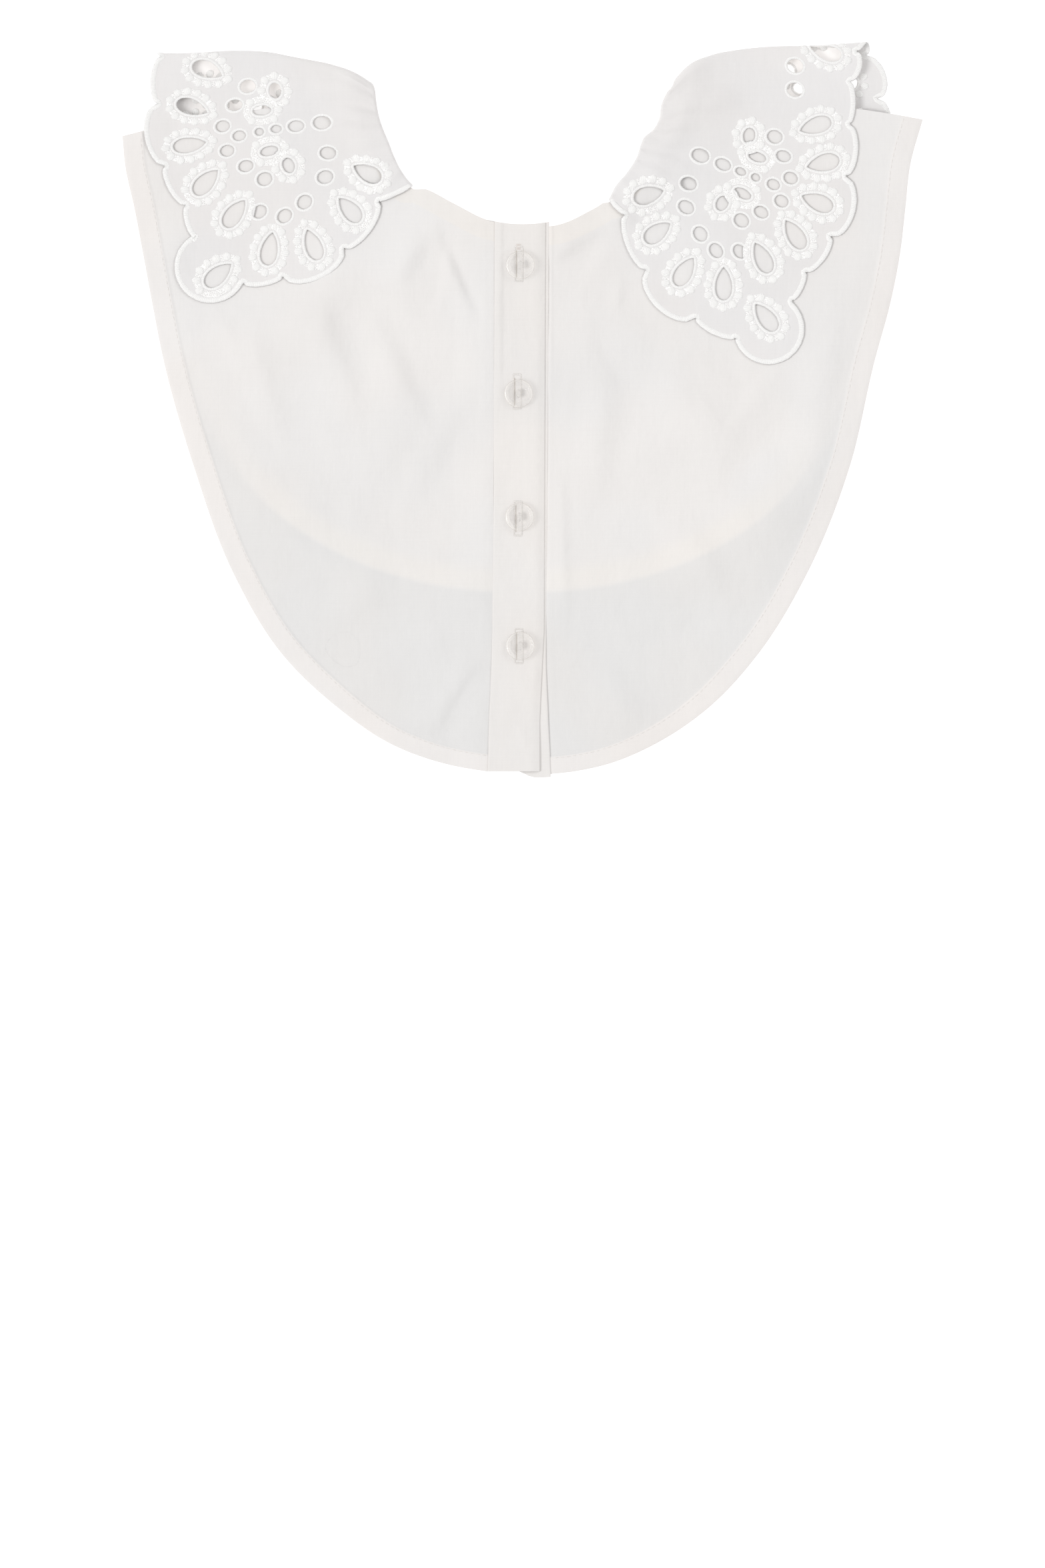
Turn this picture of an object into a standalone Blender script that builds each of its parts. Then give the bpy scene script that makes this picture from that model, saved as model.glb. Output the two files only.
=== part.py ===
# Detachable blouse collar, laid flat on a surface with its front up.
# A bib of two front halves and a back, a gathered eyelet collar folded over at both shoulders,
# a front placket with four buttons, and a narrow facing inside the front neck.
# Left and right are the wearer's own, so the right front lies on the -X side.

import math

import bmesh
import bpy
import numpy as np
from mathutils import Vector
from mathutils.geometry import delaunay_2d_cdt

MM = 0.001

# Sizes below are in millimetres, angles in degrees.
# Bearings turn about the collar's centre: 0 points down the body, positive to +X, 90 to the side.
COLLAR_CENTRE_Y = 129.2
WALL = 1.0
GAP = 0.3
HEM_WIDTH = 8.0
HEM_EXTRA = 0.4
HEM_STEP = 0.5

# Neck edge: radius of the back and of the front at each bearing
NECK_EDGE = [
    (-90, 59.0, 58.2),
    (-76, 61.4, 58.0),
    (-66, 62.0, 57.6),
    (-60, 62.3, 58.2),
    (-54, 62.5, 58.8),
    (-47, 62.6, 58.6),
    (-41, 62.4, 56.3),
    (-30, 61.6, 54.9),
    (-11, 59.0, 56.2),
    (0, 58.7, 55.9),
    (12, 59.4, 57.8),
    (26, 60.6, 57.2),
    (37, 60.0, 56.6),
    (42, 59.4, 54.5),
    (50, 59.3, 53.9),
    (58, 59.3, 53.3),
    (63, 59.5, 52.3),
    (67, 59.8, 52.4),
    (71, 60.2, 54.6),
    (76, 60.6, 55.6),
    (82, 60.7, 55.4),
    (86, 60.8, 56.7),
    (90, 60.8, 58.8),
]
EDGE_CLEARANCE = 2.0
COVER_START = (-43, 34)
COVER_BLEND = 3

# Outline of the front: height, reach of the wearer's right half and of the left half
FRONT_HEM = [
    (97.0, 158.9, 155.0),
    (80.0, 155.2, 153.1),
    (62.0, 151.8, 151.0),
    (42.0, 148.1, 147.1),
    (19.3, 143.6, 140.9),
    (-23.3, 131.5, 130.9),
    (-66.0, 115.7, 113.9),
    (-98.0, 96.5, 94.5),
    (-119.3, 74.5, 75.0),
    (-134.0, 53.2, 53.6),
    (-142.5, 29.8, 33.5),
    (-145.2, 14.5, 21.0),
    (-146.9, -30.0, 0.0),
]
# Outline of the back in the same form
BACK_HEM = [
    (97.0, 157.9, 154.1),
    (80.0, 154.3, 152.2),
    (62.0, 150.9, 150.1),
    (42.0, 147.0, 146.1),
    (20.7, 140.0, 139.8),
    (-0.1, 129.5, 129.5),
    (-16.7, 119.0, 119.0),
    (-38.0, 102.0, 102.0),
    (-54.0, 80.0, 80.0),
    (-64.7, 56.0, 56.0),
    (-71.0, 30.0, 30.0),
    (-73.2, 0.0, 0.0),
]
RIGHT_CORNER = (-160.0, 108.7)
LEFT_CORNER = (160.0, 115.3)
SHOULDER_BEARING = 84.0
SHOULDER_RISE = 3.0
SHOULDER_STEPS = (0, 0.078, 0.148, 0.24, 0.36, 0.5, 0.64, 0.78, 0.9, 1)

# Placket: height, then the edges of the buttonhole band on top and of the button stand below it
PLACKET_EDGES = [
    (-146.0, -13.9, 6.9, -14.2, 11.3),
    (-125.0, -13.4, 6.9, -14.2, 10.3),
    (-103.0, -12.4, 7.9, -14.2, 9.4),
    (-88.0, -12.1, 8.7, -14.2, 9.4),
    (-50.0, -11.7, 8.8, -14.2, 9.9),
    (74.0, -11.1, 9.2, -14.2, 10.6),
]
BAND_FOOT_Y = -145.2
# Lower end of the stand: share of its width and height there
STAND_FOOT = [
    (0.0, -144.6),
    (0.5, -145.2),
    (0.68, -147.3),
    (1.0, -147.5),
]
BAND_RISE = (4.0, 16.0)
PLACKET_STEP = 14.0
RIDGE_WIDTH = 3.2
RIDGE_FOOT_Y = 17.0
RIDGE_FADE = 12.0

BUTTON_DIAMETER = 11.5
BUTTON_THICK = 2.4
BUTTON_PLACES = [
    (-0.9, 56.9),
    (-1.6, 5.7),
    (-1.2, -43.6),
    (-0.9, -95.1),
]
BUTTON_STEPS = 16
# Turned outline from the middle over the rim: share of the radius and of the thickness
BUTTON_PROFILE = [
    (0.0, 0.62),
    (0.60, 0.62),
    (0.74, 1.0),
    (0.90, 1.0),
    (1.0, 0.6),
    (0.80, 0.0),
    (0.0, 0.0),
]
BUTTON_HOLE = 1.9
BUTTON_HOLE_OFFSET = 2.4

FACING_WIDTH = 7.5
FACING_START = 1.0
FACING_SLOPE = 7.0

# Spacing of the points inside the bib's pieces
BACK_PITCH = 17.0
FRONT_PITCH = 14.0

# Heights of the stacked layers
GATHER_HEIGHT = 0.7
GATHER_RADII = (64.0, 84.0)
COLLAR_REST_RADII = (153.5, 174.0)
BACK_DROP = (5.0, 26.0)
HEM_SETTLE = 12.0
# Well outside the whole piece, to close an outline above the shoulders
FAR_OUT = 400.0

# Soft folds of the front bib: start, end, half width and height
FRONT_FOLDS = [
    (-118, 62, -96, -22, 6.0, 0.7),
    (-84, 44, -66, -6, 6.5, 0.9),
    (-62, 40, -36, -18, 6.0, 0.8),
    (34, 26, 28, -40, 6.0, 0.7),
    (126, 40, 112, -30, 6.5, 0.7),
    (60, -40, 84, -84, 7.0, 0.6),
    (-52, -66, -84, -92, 7.0, 0.6),
]

# Collar cut: seven fan motifs, by the bearing of each axis on the unfolded cloth and its reach
MOTIFS = [
    ("right_front", -116.9, 1.020),
    ("right_shoulder", -75.8, 1.000),
    ("right_back", -36.4, 1.000),
    ("centre_back", 3.0, 1.000),
    ("left_back", 42.2, 1.003),
    ("left_shoulder", 83.6, 0.985),
    ("left_front", 131.0, 0.957),
]
COLLAR_ENDS = (-149.3, 161.9)
FOLD_BEARING = {-1: 96.8, 1: 98.0}
FOLD_TURN = 3.3
FOLD_STEPS = np.linspace(0, 1, 5)
FOLD_CLEAR = 0.6
FOLD_REACH = 45.0
# Lift of the folded top edge above the side bearing: radius, right side, left side
FOLD_LIFT = [
    (58.7, 0.4, 0.8),
    (65.4, 4.0, 6.5),
    (77.0, 6.6, 9.5),
    (85.0, 7.1, 9.7),
    (93.0, 7.4, 9.5),
    (101.0, 7.7, 9.1),
    (117.0, 7.0, 8.0),
    (133.0, 5.8, 7.5),
    (141.0, 5.4, 7.3),
    (152.0, 5.2, 7.2),
]

# Soft folds of the collar's front layer, written as those of the bib
COLLAR_FOLDS = [
    (-50, 113, -80, 118, 4.5, 0.8),
    (-60, 128, -86, 127, 4.5, 0.6),
    (-46, 92, -64, 84, 4.5, 0.6),
    (60, 119, 88, 124, 5.0, 0.8),
    (47, 95, 70, 90, 4.5, 0.6),
]
# Where the collar's front layer covers the bib, by bearing, and the radii where it ends
COLLAR_FRONT_EDGE = (-50, 36)
OPEN_RADII = (149.5, 159.5)
OPEN_BLEND = 6.0

GATHER_COUNT = 37
GATHER_STEPS = 4
# What makes the gathers uneven: size, waves in a full turn and shift of each term
GATHER_UNEVEN = [
    (0.9, 5, 0.6),
    (0.6, 11, 0.0),
    (0.35, 17, 2.0),
]
ROLL_RADIUS = 1.3
ROLL_START = 1.9
ROLL_TURN = math.pi / 2

# Scallops of the outer edge: degrees from the motif's axis and radius of each dip between two
SCALLOP_MAIN = 5.1
SCALLOP_SIDE = 7.8
SCALLOP_SMALL = 6.3
DIP_RADII = [
    (0.0, 144.2),
    (5.1, 144.2),
    (12.9, 140.5),
    (19.7, 136.6),
    (30.0, 136.6),
]
BULGE_MAIN = 6.4
BULGE_SIDE = 5.8
BULGE_SMALL = 3.4
SCALLOP_STEPS = 5
# The corners' own scallops: degrees from the corner motif's axis and radius of each dip, and bulge after it
END_SCALLOPS = {
    -1: [(-17.0, 142.0, 3.0), (-8.3, 143.0, 6.1), (2.8, 143.3, 3.0), (9.7, 140.0, 2.1), (15.2, 141.3, 0.0)],
    1: [
        (-23.3, 136.6, 2.0), (-15.2, 137.3, 3.8), (-5.9, 140.0, 6.6),
        (4.5, 143.1, 3.2), (11.8, 141.5, 1.8), (17.0, 143.9, 0.0),
    ],
}
# Round tip lobe of each corner: radius and degrees of its centre, and its own radius
TIP_LOBES = {-1: (141.5, 20.3, 14.2), 1: (144.9, 23.05, 13.9)}
TIP_STEPS = 13
# Dips of each front edge: radius, degrees from the corner motif's axis, bulge of the scallop below
FRONT_DIPS = {
    -1: [(134.0, 25.3, 2.6), (120.2, 28.5, 7.2), (94.9, 32.3, 4.7), (72.8, 28.8, 1.2)],
    1: [(138.1, 28.0, 2.9), (121.1, 31.6, 8.0), (92.8, 34.4, 4.1), (69.2, 29.9, 1.2)],
}

# Eyelets of one fan, over 4 mm: radius, degrees from its axis, width, length, tilt
FAN_EYELETS = [
    ("stem", 80.0, 0.0, 5.6, 7.2, 0),
    ("stem", 90.2, 0.0, 4.7, 6.5, 0),
    ("stem", 112.8, 0.0, 4.3, 5.4, 0),
    ("bloom", 97.0, 9.0, 6.4, 4.9, 0),
    ("leaf", 102.6, 4.6, 4.0, 7.4, 0),
    ("eye", 107.6, 10.1, 5.4, 6.3, 0),
    ("eye", 113.0, 6.4, 4.7, 6.1, 0),
    ("eye", 118.6, 2.5, 4.9, 5.8, 0),
    ("drop", 132.6, 0.0, 7.1, 13.3, 0),
    ("drop", 129.8, 7.1, 7.1, 13.3, 28),
    ("drop", 123.6, 14.1, 7.1, 13.3, 28),
]
# The drop that shows beside the left fold: its fan, its degrees there and how far it is set on
FOLD_DROP = (5, 14.1)
FOLD_DROP_MOVE = 4.0
BETWEEN_EYELET = ("between", 112.3, 5.8, 6.4)
BETWEEN_SPREAD = 5.2
# Eyelets that follow the front edge, on the front side of each corner motif
EDGE_EYELETS = [
    ("drop", 140.6, 22.0, 7.1, 13.3, 8),
    ("drop", 118.2, 23.0, 7.1, 13.3, 46),
    ("drop", 103.3, 27.4, 7.1, 13.0, 74),
    ("drop", 83.6, 25.9, 7.1, 12.4, 97),
    ("drop", 70.0, 19.6, 7.1, 12.4, 122),
    ("eye", 80.8, 9.1, 5.3, 6.6, -20),
    ("eye", 85.4, 15.1, 5.3, 6.6, -10),
    ("eye", 97.0, 18.3, 5.4, 6.4, 10),
    ("eye", 106.5, 18.9, 5.2, 6.4, 10),
    ("eye", 114.4, 15.8, 5.0, 6.2, 10),
]
# How pointed a drop is at its neck end, and what then brings it back to its stated width
DROP_POINT = 0.6
DROP_FULLNESS = 1.16
ROUND_SIDES = 8
DROP_SIDES = 10
# Radii of the loose points between the eyelets
COLLAR_RINGS = (94, 120, 136)

COTTON = (0.93, 0.915, 0.88, 1.0)
FACING_COTTON = (0.93, 0.90, 0.84, 1.0)
CLEAR_PLASTIC = (0.86, 0.87, 0.87, 1.0)


def smooth(at, knots, values):
    """Cubic curve through the rows of a table, level past both ends."""
    at = np.asarray(at, dtype=float)
    knots = np.asarray(knots, dtype=float)
    values = np.asarray(values, dtype=float)
    slopes = np.gradient(values, knots)
    cell = np.clip(np.searchsorted(knots, at) - 1, 0, len(knots) - 2)
    width = knots[cell + 1] - knots[cell]
    t = np.clip((at - knots[cell]) / width, 0, 1)
    start = (2 * t**3 - 3 * t**2 + 1) * values[cell] + (t**3 - 2 * t**2 + t) * width * slopes[cell]
    end = (3 * t**2 - 2 * t**3) * values[cell + 1] + (t**3 - t**2) * width * slopes[cell + 1]
    return start + end


def column(rows, index):
    return [row[index] for row in rows]


def fade(at, start, end):
    """1 up to start, 0 from end on, straight between them."""
    return np.clip((end - np.asarray(at)) / (end - start), 0, 1)


def curve_through(points, count):
    """Evenly counted points on a smooth curve through a few given ones."""
    points = np.array(points, dtype=float)
    steps = np.hypot(*np.diff(points, axis=0).T)
    along = np.concatenate([[0], np.cumsum(steps)])
    at = np.linspace(0, along[-1], count)
    return np.column_stack([smooth(at, along, points[:, 0]), smooth(at, along, points[:, 1])])


def to_plan(radius, bearing):
    angle = np.radians(bearing)
    return np.column_stack([radius * np.sin(angle), COLLAR_CENTRE_Y - radius * np.cos(angle)])


def to_polar(plan):
    dx = plan[:, 0]
    dy = COLLAR_CENTRE_Y - plan[:, 1]
    return np.hypot(dx, dy), np.degrees(np.arctan2(dx, dy))


def neck_radius(bearing, layer):
    """Radius of the neck edge at a bearing seen in plan, on the back or on the front."""
    row = {"back": 1, "front": 2}[layer]
    return smooth(np.clip(bearing, -90, 90), column(NECK_EDGE, 0), column(NECK_EDGE, row))


def inside(points, outline):
    """Even-odd test of many points against one closed outline."""
    x = points[:, 0][:, None]
    y = points[:, 1][:, None]
    ax, ay = outline[:, 0], outline[:, 1]
    bx, by = np.roll(ax, -1), np.roll(ay, -1)
    crosses = (ay > y) != (by > y)
    rise = np.where(by == ay, 1.0, by - ay)
    return (crosses & (x < (bx - ax) * (y - ay) / rise + ax)).sum(axis=1) % 2 == 1


def distance(points, path, closed=False):
    """Shortest distance from each point to a path of straight pieces."""
    start = path if closed else path[:-1]
    end = np.roll(path, -1, axis=0) if closed else path[1:]
    run = end - start
    offset = points[:, None, :] - start[None, :, :]
    t = np.clip((offset * run).sum(axis=2) / (run * run).sum(axis=1), 0, 1)
    return np.sqrt(((offset - t[:, :, None] * run) ** 2).sum(axis=2)).min(axis=1)


def moved_in(path, amount):
    """A path shifted sideways, to the right of its own direction."""
    direction = np.gradient(path, axis=0)
    direction /= np.hypot(direction[:, 0], direction[:, 1])[:, None]
    return path + amount * np.column_stack([direction[:, 1], -direction[:, 0]])


# Outlines of the bib

def shoulder_path(side, layer):
    """From the neck point out to the shoulder corner, with a soft rise between."""
    radius = neck_radius(side * SHOULDER_BEARING, layer) + EDGE_CLEARANCE
    start = to_plan(np.array([radius]), np.array([side * SHOULDER_BEARING]))[0]
    corner = np.array(RIGHT_CORNER if side < 0 else LEFT_CORNER)
    t = np.array(SHOULDER_STEPS)
    path = start + (corner - start) * t[:, None]
    path[:, 1] += 4 * SHOULDER_RISE * t * (1 - t)
    return path


def front_hem_path(side, end_x, count=34):
    """From the shoulder corner down the side and along the bottom to end_x."""
    corner = RIGHT_CORNER if side < 0 else LEFT_CORNER
    reach = 1 if side < 0 else 2
    rows = [corner] + [(side * row[reach], row[0]) for row in FRONT_HEM]
    path = curve_through(rows, count)
    foot = np.interp(side * end_x, side * path[::-1, 0], path[::-1, 1])
    path = path[side * path[:, 0] > side * end_x + 1.0]
    return np.vstack([path, [[end_x, foot]]])


def back_hem_path(count=49):
    right = [RIGHT_CORNER] + [(-row[1], row[0]) for row in BACK_HEM]
    left = [(row[2], row[0]) for row in reversed(BACK_HEM[:-1])] + [LEFT_CORNER]
    return curve_through(right + left, count)


def front_edge_radius(bearing):
    """Neck edge of the front bib: drawn back where the collar covers it."""
    covered = np.maximum(
        1 - fade(bearing, COVER_START[1], COVER_START[1] + COVER_BLEND),
        fade(bearing, COVER_START[0] - COVER_BLEND, COVER_START[0]),
    )
    return neck_radius(bearing, "front") + EDGE_CLEARANCE * covered


def neck_path(layer, start, end, count):
    bearing = np.linspace(start, end, count)
    if layer == "front":
        return to_plan(front_edge_radius(bearing), bearing)
    return to_plan(neck_radius(bearing, "back") + EDGE_CLEARANCE, bearing)


def bearing_at_x(x):
    """Bearing where the front neck edge passes over a given x."""
    bearing = 0.0
    for _ in range(20):
        radius = float(front_edge_radius(np.array([bearing]))[0])
        bearing = math.degrees(math.asin(x / radius))
    return bearing


# Heights of the layers, worked out for any point of the plan

BACK_HEM_LINE = back_hem_path()
BACK_COVER = np.vstack([BACK_HEM_LINE, [[FAR_OUT, FAR_OUT], [-FAR_OUT, FAR_OUT]]])
FRONT_HEM_LINES = {-1: front_hem_path(-1, 0.0), 1: front_hem_path(1, 0.0)}


def back_under(plan):
    """Height of the underside of the back bib, which lies on the folded-under collar."""
    radius, _ = to_polar(plan)
    rest = (WALL + GAP) * fade(radius, *COLLAR_REST_RADII)
    return rest + GATHER_HEIGHT * fade(radius, *GATHER_RADII)


def back_cover(plan):
    """1 over the back bib, falling to 0 outside its hem."""
    outside = ~inside(plan, BACK_COVER)
    away = np.where(outside, distance(plan, BACK_HEM_LINE), 0)
    return fade(away, *BACK_DROP)


def facing_lift(plan):
    radius, bearing = to_polar(plan)
    past_edge = radius - front_edge_radius(bearing)
    return (WALL + GAP) * fade(past_edge, FACING_WIDTH + GAP, FACING_WIDTH + GAP + FACING_SLOPE)


def hem_step(plan, hem):
    """1 over a hem's thicker edge, settling to 0 further in."""
    return fade(distance(plan, hem), HEM_WIDTH + HEM_STEP, HEM_WIDTH + HEM_SETTLE)


def soft_folds(plan, rows):
    """Soft ridges, each a bell across its line that sinks towards both ends."""
    height = np.zeros(len(plan))
    for x0, y0, x1, y1, half_width, top in rows:
        run = np.array([x1 - x0, y1 - y0])
        offset = plan - np.array([x0, y0])
        t = np.clip((offset @ run) / (run @ run), 0, 1)
        away = np.hypot(*(offset - t[:, None] * run).T)
        height += top * np.exp(-((away / half_width) ** 2)) * np.sin(np.pi * t)
    return height


def front_under(plan):
    """Height of the underside of the front bib over the back, its hem and the facing."""
    back_top = WALL + HEM_EXTRA * hem_step(plan, BACK_HEM_LINE) + GAP
    return back_cover(plan) * (back_under(plan) + back_top) + facing_lift(plan)


def front_top(plan):
    """Height of the top of the front bib without its soft folds, over its own hem too."""
    hem = np.maximum(hem_step(plan, FRONT_HEM_LINES[-1]), hem_step(plan, FRONT_HEM_LINES[1]))
    return front_under(plan) + WALL + HEM_EXTRA * hem


def open_front(plan):
    """1 where the front bib is in view, 0 where the collar's front layer lies on it."""
    radius, bearing = to_polar(plan)
    outside = 1 - fade(radius, *OPEN_RADII)
    right, left = COLLAR_FRONT_EDGE
    between = fade(bearing, left - OPEN_BLEND, left) * fade(-bearing, -right - OPEN_BLEND, -right)
    return np.maximum(outside, between)


def placket_lift(plan):
    """The right front climbs onto the button stand beside the placket."""
    edge = strip_edge("band_right", plan[:, 1])
    return (WALL + GAP) * fade(edge - plan[:, 0], *BAND_RISE)


def strip_edge(name, y):
    """How far across an edge of the placket is at a height; its sides are the wearer's."""
    index = 1 + ("band_right", "band_left", "stand_right", "stand_left").index(name)
    return np.interp(y, column(PLACKET_EDGES, 0), column(PLACKET_EDGES, index))


# Meshes

def triangulate(outline, holes=(), lines=(), points=None, margin=2.0):
    """Triangles inside an outline and outside its holes, along given guide lines."""
    guides = []
    for line in lines:
        guides.extend(inside_runs(line, outline, margin * 0.5))
    loose = np.zeros((0, 2)) if points is None else points
    if len(loose):
        loose = loose[inside(loose, outline) & (distance(loose, outline, True) > margin)]
        for path in list(holes):
            loose = loose[~inside(loose, path)]
            loose = loose[distance(loose, path, True) > margin]
        for path in guides:
            loose = loose[distance(loose, path) > margin]
    vertices = [outline] + list(holes) + guides + [loose]
    edges = []
    first = 0
    for loop in [outline] + list(holes):
        count = len(loop)
        edges += [(first + i, first + (i + 1) % count) for i in range(count)]
        first += count
    for path in guides:
        edges += [(first + i, first + i + 1) for i in range(len(path) - 1)]
        first += len(path)
    stacked = np.vstack(vertices)
    result = delaunay_2d_cdt([Vector(p) for p in stacked.tolist()], edges, [], 0, 1e-5)
    plan = np.array([tuple(v) for v in result[0]])
    faces = np.array([tuple(f) for f in result[2]])
    middle = plan[faces].mean(axis=1)
    keep = inside(middle, outline)
    for hole in holes:
        keep &= ~inside(middle, hole)
    return without_loose(plan, same_way(plan, faces[keep]))


def same_way(plan, faces):
    """Faces all wound counter-clockwise in plan."""
    a, b, c = (plan[faces[:, corner]] for corner in range(3))
    area = (b[:, 0] - a[:, 0]) * (c[:, 1] - a[:, 1]) - (b[:, 1] - a[:, 1]) * (c[:, 0] - a[:, 0])
    turned = faces.copy()
    turned[area < 0] = turned[area < 0][:, ::-1]
    return turned


def without_loose(plan, faces):
    """Only the points that a face uses."""
    used, index = np.unique(faces, return_inverse=True)
    return plan[used], index.reshape(faces.shape)


def inside_runs(line, outline, margin):
    """The stretches of a line that stay inside an outline."""
    keep = inside(line, outline) & (distance(line, outline, True) > margin)
    runs = []
    start = None
    for index, flag in enumerate(list(keep) + [False]):
        if flag and start is None:
            start = index
        if not flag and start is not None:
            if index - start > 1:
                runs.append(line[start:index])
            start = None
    return runs


def hex_points(pitch):
    """Even triangular grid over the whole laid piece."""
    rows = []
    for index, y in enumerate(np.arange(BAND_FOOT_Y, COLLAR_CENTRE_Y, pitch * math.sqrt(0.75))):
        xs = np.arange(RIGHT_CORNER[0] + (index % 2) * pitch / 2, LEFT_CORNER[0], pitch)
        rows.append(np.column_stack([xs, np.full(len(xs), y)]))
    return np.vstack(rows)


def ring(radius, count=36):
    bearing = np.linspace(-100, 100, count)
    return to_plan(np.full(count, radius), bearing)


def cloth_object(name, vertices, faces, material, collection, offset=1.0, thick=None):
    """An open surface given its wall by Solidify, thicker where thick is 1."""
    mesh = bpy.data.meshes.new(name)
    mesh.from_pydata((vertices * MM).tolist(), [], [tuple(map(int, face)) for face in faces])
    piece = bpy.data.objects.new(name, mesh)
    collection.objects.link(piece)
    mesh.materials.append(material)
    wall = piece.modifiers.new("wall", "SOLIDIFY")
    wall.offset = offset
    wall.thickness = WALL * MM
    if thick is not None:
        group = piece.vertex_groups.new(name="hem")
        for index, weight in enumerate(thick[: len(mesh.vertices)]):
            if weight > 0:
                group.add([index], float(weight), "REPLACE")
        wall.vertex_group = "hem"
        wall.thickness = (WALL + HEM_EXTRA) * MM
        wall.thickness_vertex_group = WALL / (WALL + HEM_EXTRA)
    return piece


def lift_plan(plan, height):
    return np.column_stack([plan, height])


def hem_weight(plan, hem_path):
    return fade(distance(plan, hem_path), HEM_WIDTH, HEM_WIDTH + HEM_STEP)


# Pieces

def make_back(material, collection):
    neck = neck_path("back", SHOULDER_BEARING, -SHOULDER_BEARING, 40)
    hem = back_hem_path()
    right = shoulder_path(-1, "back")
    left = shoulder_path(1, "back")[::-1]
    outline = np.vstack([right[:-1], hem, left[1:], neck[1:-1]])
    lines = [
        ring(GATHER_RADII[0] + 1), ring(GATHER_RADII[1]), ring(COLLAR_REST_RADII[0]),
        ring(COLLAR_REST_RADII[1]), moved_in(hem, -HEM_WIDTH), moved_in(hem, -HEM_WIDTH - HEM_STEP),
    ]
    plan, faces = triangulate(outline, (), lines, hex_points(BACK_PITCH), BACK_PITCH / 5)
    vertices = lift_plan(plan, back_under(plan))
    return cloth_object("back", vertices, faces, material, collection, 1.0, hem_weight(plan, hem))


def make_front(side, material, collection):
    """One front half, from the shoulder down to the hem and in to the placket."""
    inner = placket_edge(side)
    hem = front_hem_path(side, inner[0, 0])
    neck = neck_path("front", bearing_at_x(inner[-1, 0]), side * SHOULDER_BEARING, 26)
    shoulder = shoulder_path(side, "front")
    outline = np.vstack([inner[1:-1], neck, shoulder[1:-1], hem])
    bearing = np.linspace(-92, 92, 38)
    facing_line = to_plan(front_edge_radius(bearing) + FACING_WIDTH + GAP, bearing)
    facing_foot = to_plan(front_edge_radius(bearing) + FACING_WIDTH + GAP + FACING_SLOPE, bearing)
    inward = HEM_WIDTH if side > 0 else -HEM_WIDTH
    step = HEM_STEP if side > 0 else -HEM_STEP
    lines = [
        facing_line, facing_foot, ring(GATHER_RADII[1]), ring(COLLAR_REST_RADII[0]),
        ring(COLLAR_REST_RADII[1]), moved_in(hem[:-1], inward), moved_in(hem[:-1], inward + step),
        moved_in(BACK_HEM_LINE, BACK_DROP[0]), moved_in(BACK_HEM_LINE, BACK_DROP[1]),
        moved_in(BACK_HEM_LINE, -HEM_WIDTH),
    ]
    if side < 0:
        lines += [inner - np.array([away, 0]) for away in BAND_RISE]
    plan, faces = triangulate(outline, (), lines, hex_points(FRONT_PITCH), FRONT_PITCH / 5)
    height = front_under(plan) + soft_folds(plan, FRONT_FOLDS) * open_front(plan)
    if side < 0:
        height = height + placket_lift(plan)
    name = "front_right" if side < 0 else "front_left"
    weight = hem_weight(plan, hem)
    return cloth_object(name, lift_plan(plan, height), faces, material, collection, 1.0, weight)


def placket_rows(foot_y):
    """Heights down the placket: each bend of the layers below and even steps between."""
    top = COLLAR_CENTRE_Y - neck_radius(0.0, "front")
    back_foot = BACK_HEM[-1][0]
    bends = [
        foot_y, back_foot - BACK_DROP[1], back_foot - BACK_DROP[0], back_foot + HEM_WIDTH,
        COLLAR_CENTRE_Y - COLLAR_REST_RADII[1], COLLAR_CENTRE_Y - COLLAR_REST_RADII[0],
        COLLAR_CENTRE_Y - GATHER_RADII[1], top - FACING_WIDTH - GAP - FACING_SLOPE,
        top - FACING_WIDTH - GAP, top,
    ]
    rows = []
    for low, high in zip(bends, bends[1:]):
        rows += list(np.linspace(low, high, max(2, round((high - low) / PLACKET_STEP) + 1))[:-1])
    return np.array(rows + [top])


def placket_edge(side):
    """Inner edge of a front half, 0.3 mm from the strip that is sewn to it."""
    rows = placket_rows(STAND_FOOT[-1][1])
    name = "band_right" if side < 0 else "stand_left"
    return np.column_stack([strip_edge(name, rows) + side * GAP, rows])


def make_facing(side, material, collection):
    """Narrow band inside the front neck edge, from the shoulder to the placket."""
    name = "stand_right" if side < 0 else "stand_left"
    edge_x = float(strip_edge(name, COLLAR_CENTRE_Y)) + side * FACING_START
    bearing = np.linspace(bearing_at_x(edge_x), side * (SHOULDER_BEARING - 1), 30)
    rows = []
    for out in (GAP, FACING_WIDTH / 2, FACING_WIDTH):
        plan = to_plan(front_edge_radius(bearing) + out, bearing)
        rows.append(lift_plan(plan, front_under(plan) - WALL - GAP))
    name = "neck_facing_right" if side < 0 else "neck_facing_left"
    return loft(name, rows, material, collection)


def loft(name, rows, material, collection, thick=None):
    """Quads between rows of points that all have the same count."""
    count = len(rows[0])
    faces = []
    for row in range(len(rows) - 1):
        for index in range(count - 1):
            corner = row * count + index
            faces.append((corner, corner + 1, corner + count + 1, corner + count))
    points = np.vstack(rows)
    quads = same_way(points[:, :2], np.array(faces))
    return cloth_object(name, points, quads, material, collection, 1.0, thick)


def strip_rows(edges, feet, height):
    """Rows of points down a strip, one for each edge or fold line across it."""
    rows = []
    for edge, foot_y in zip(edges, feet):
        y = placket_rows(foot_y)
        y[-1] = COLLAR_CENTRE_Y - math.sqrt(neck_radius(0.0, "front") ** 2 - float(edge(y[-1])) ** 2)
        plan = np.column_stack([edge(y), y])
        rows.append(lift_plan(plan, height(plan)))
    return rows


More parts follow.
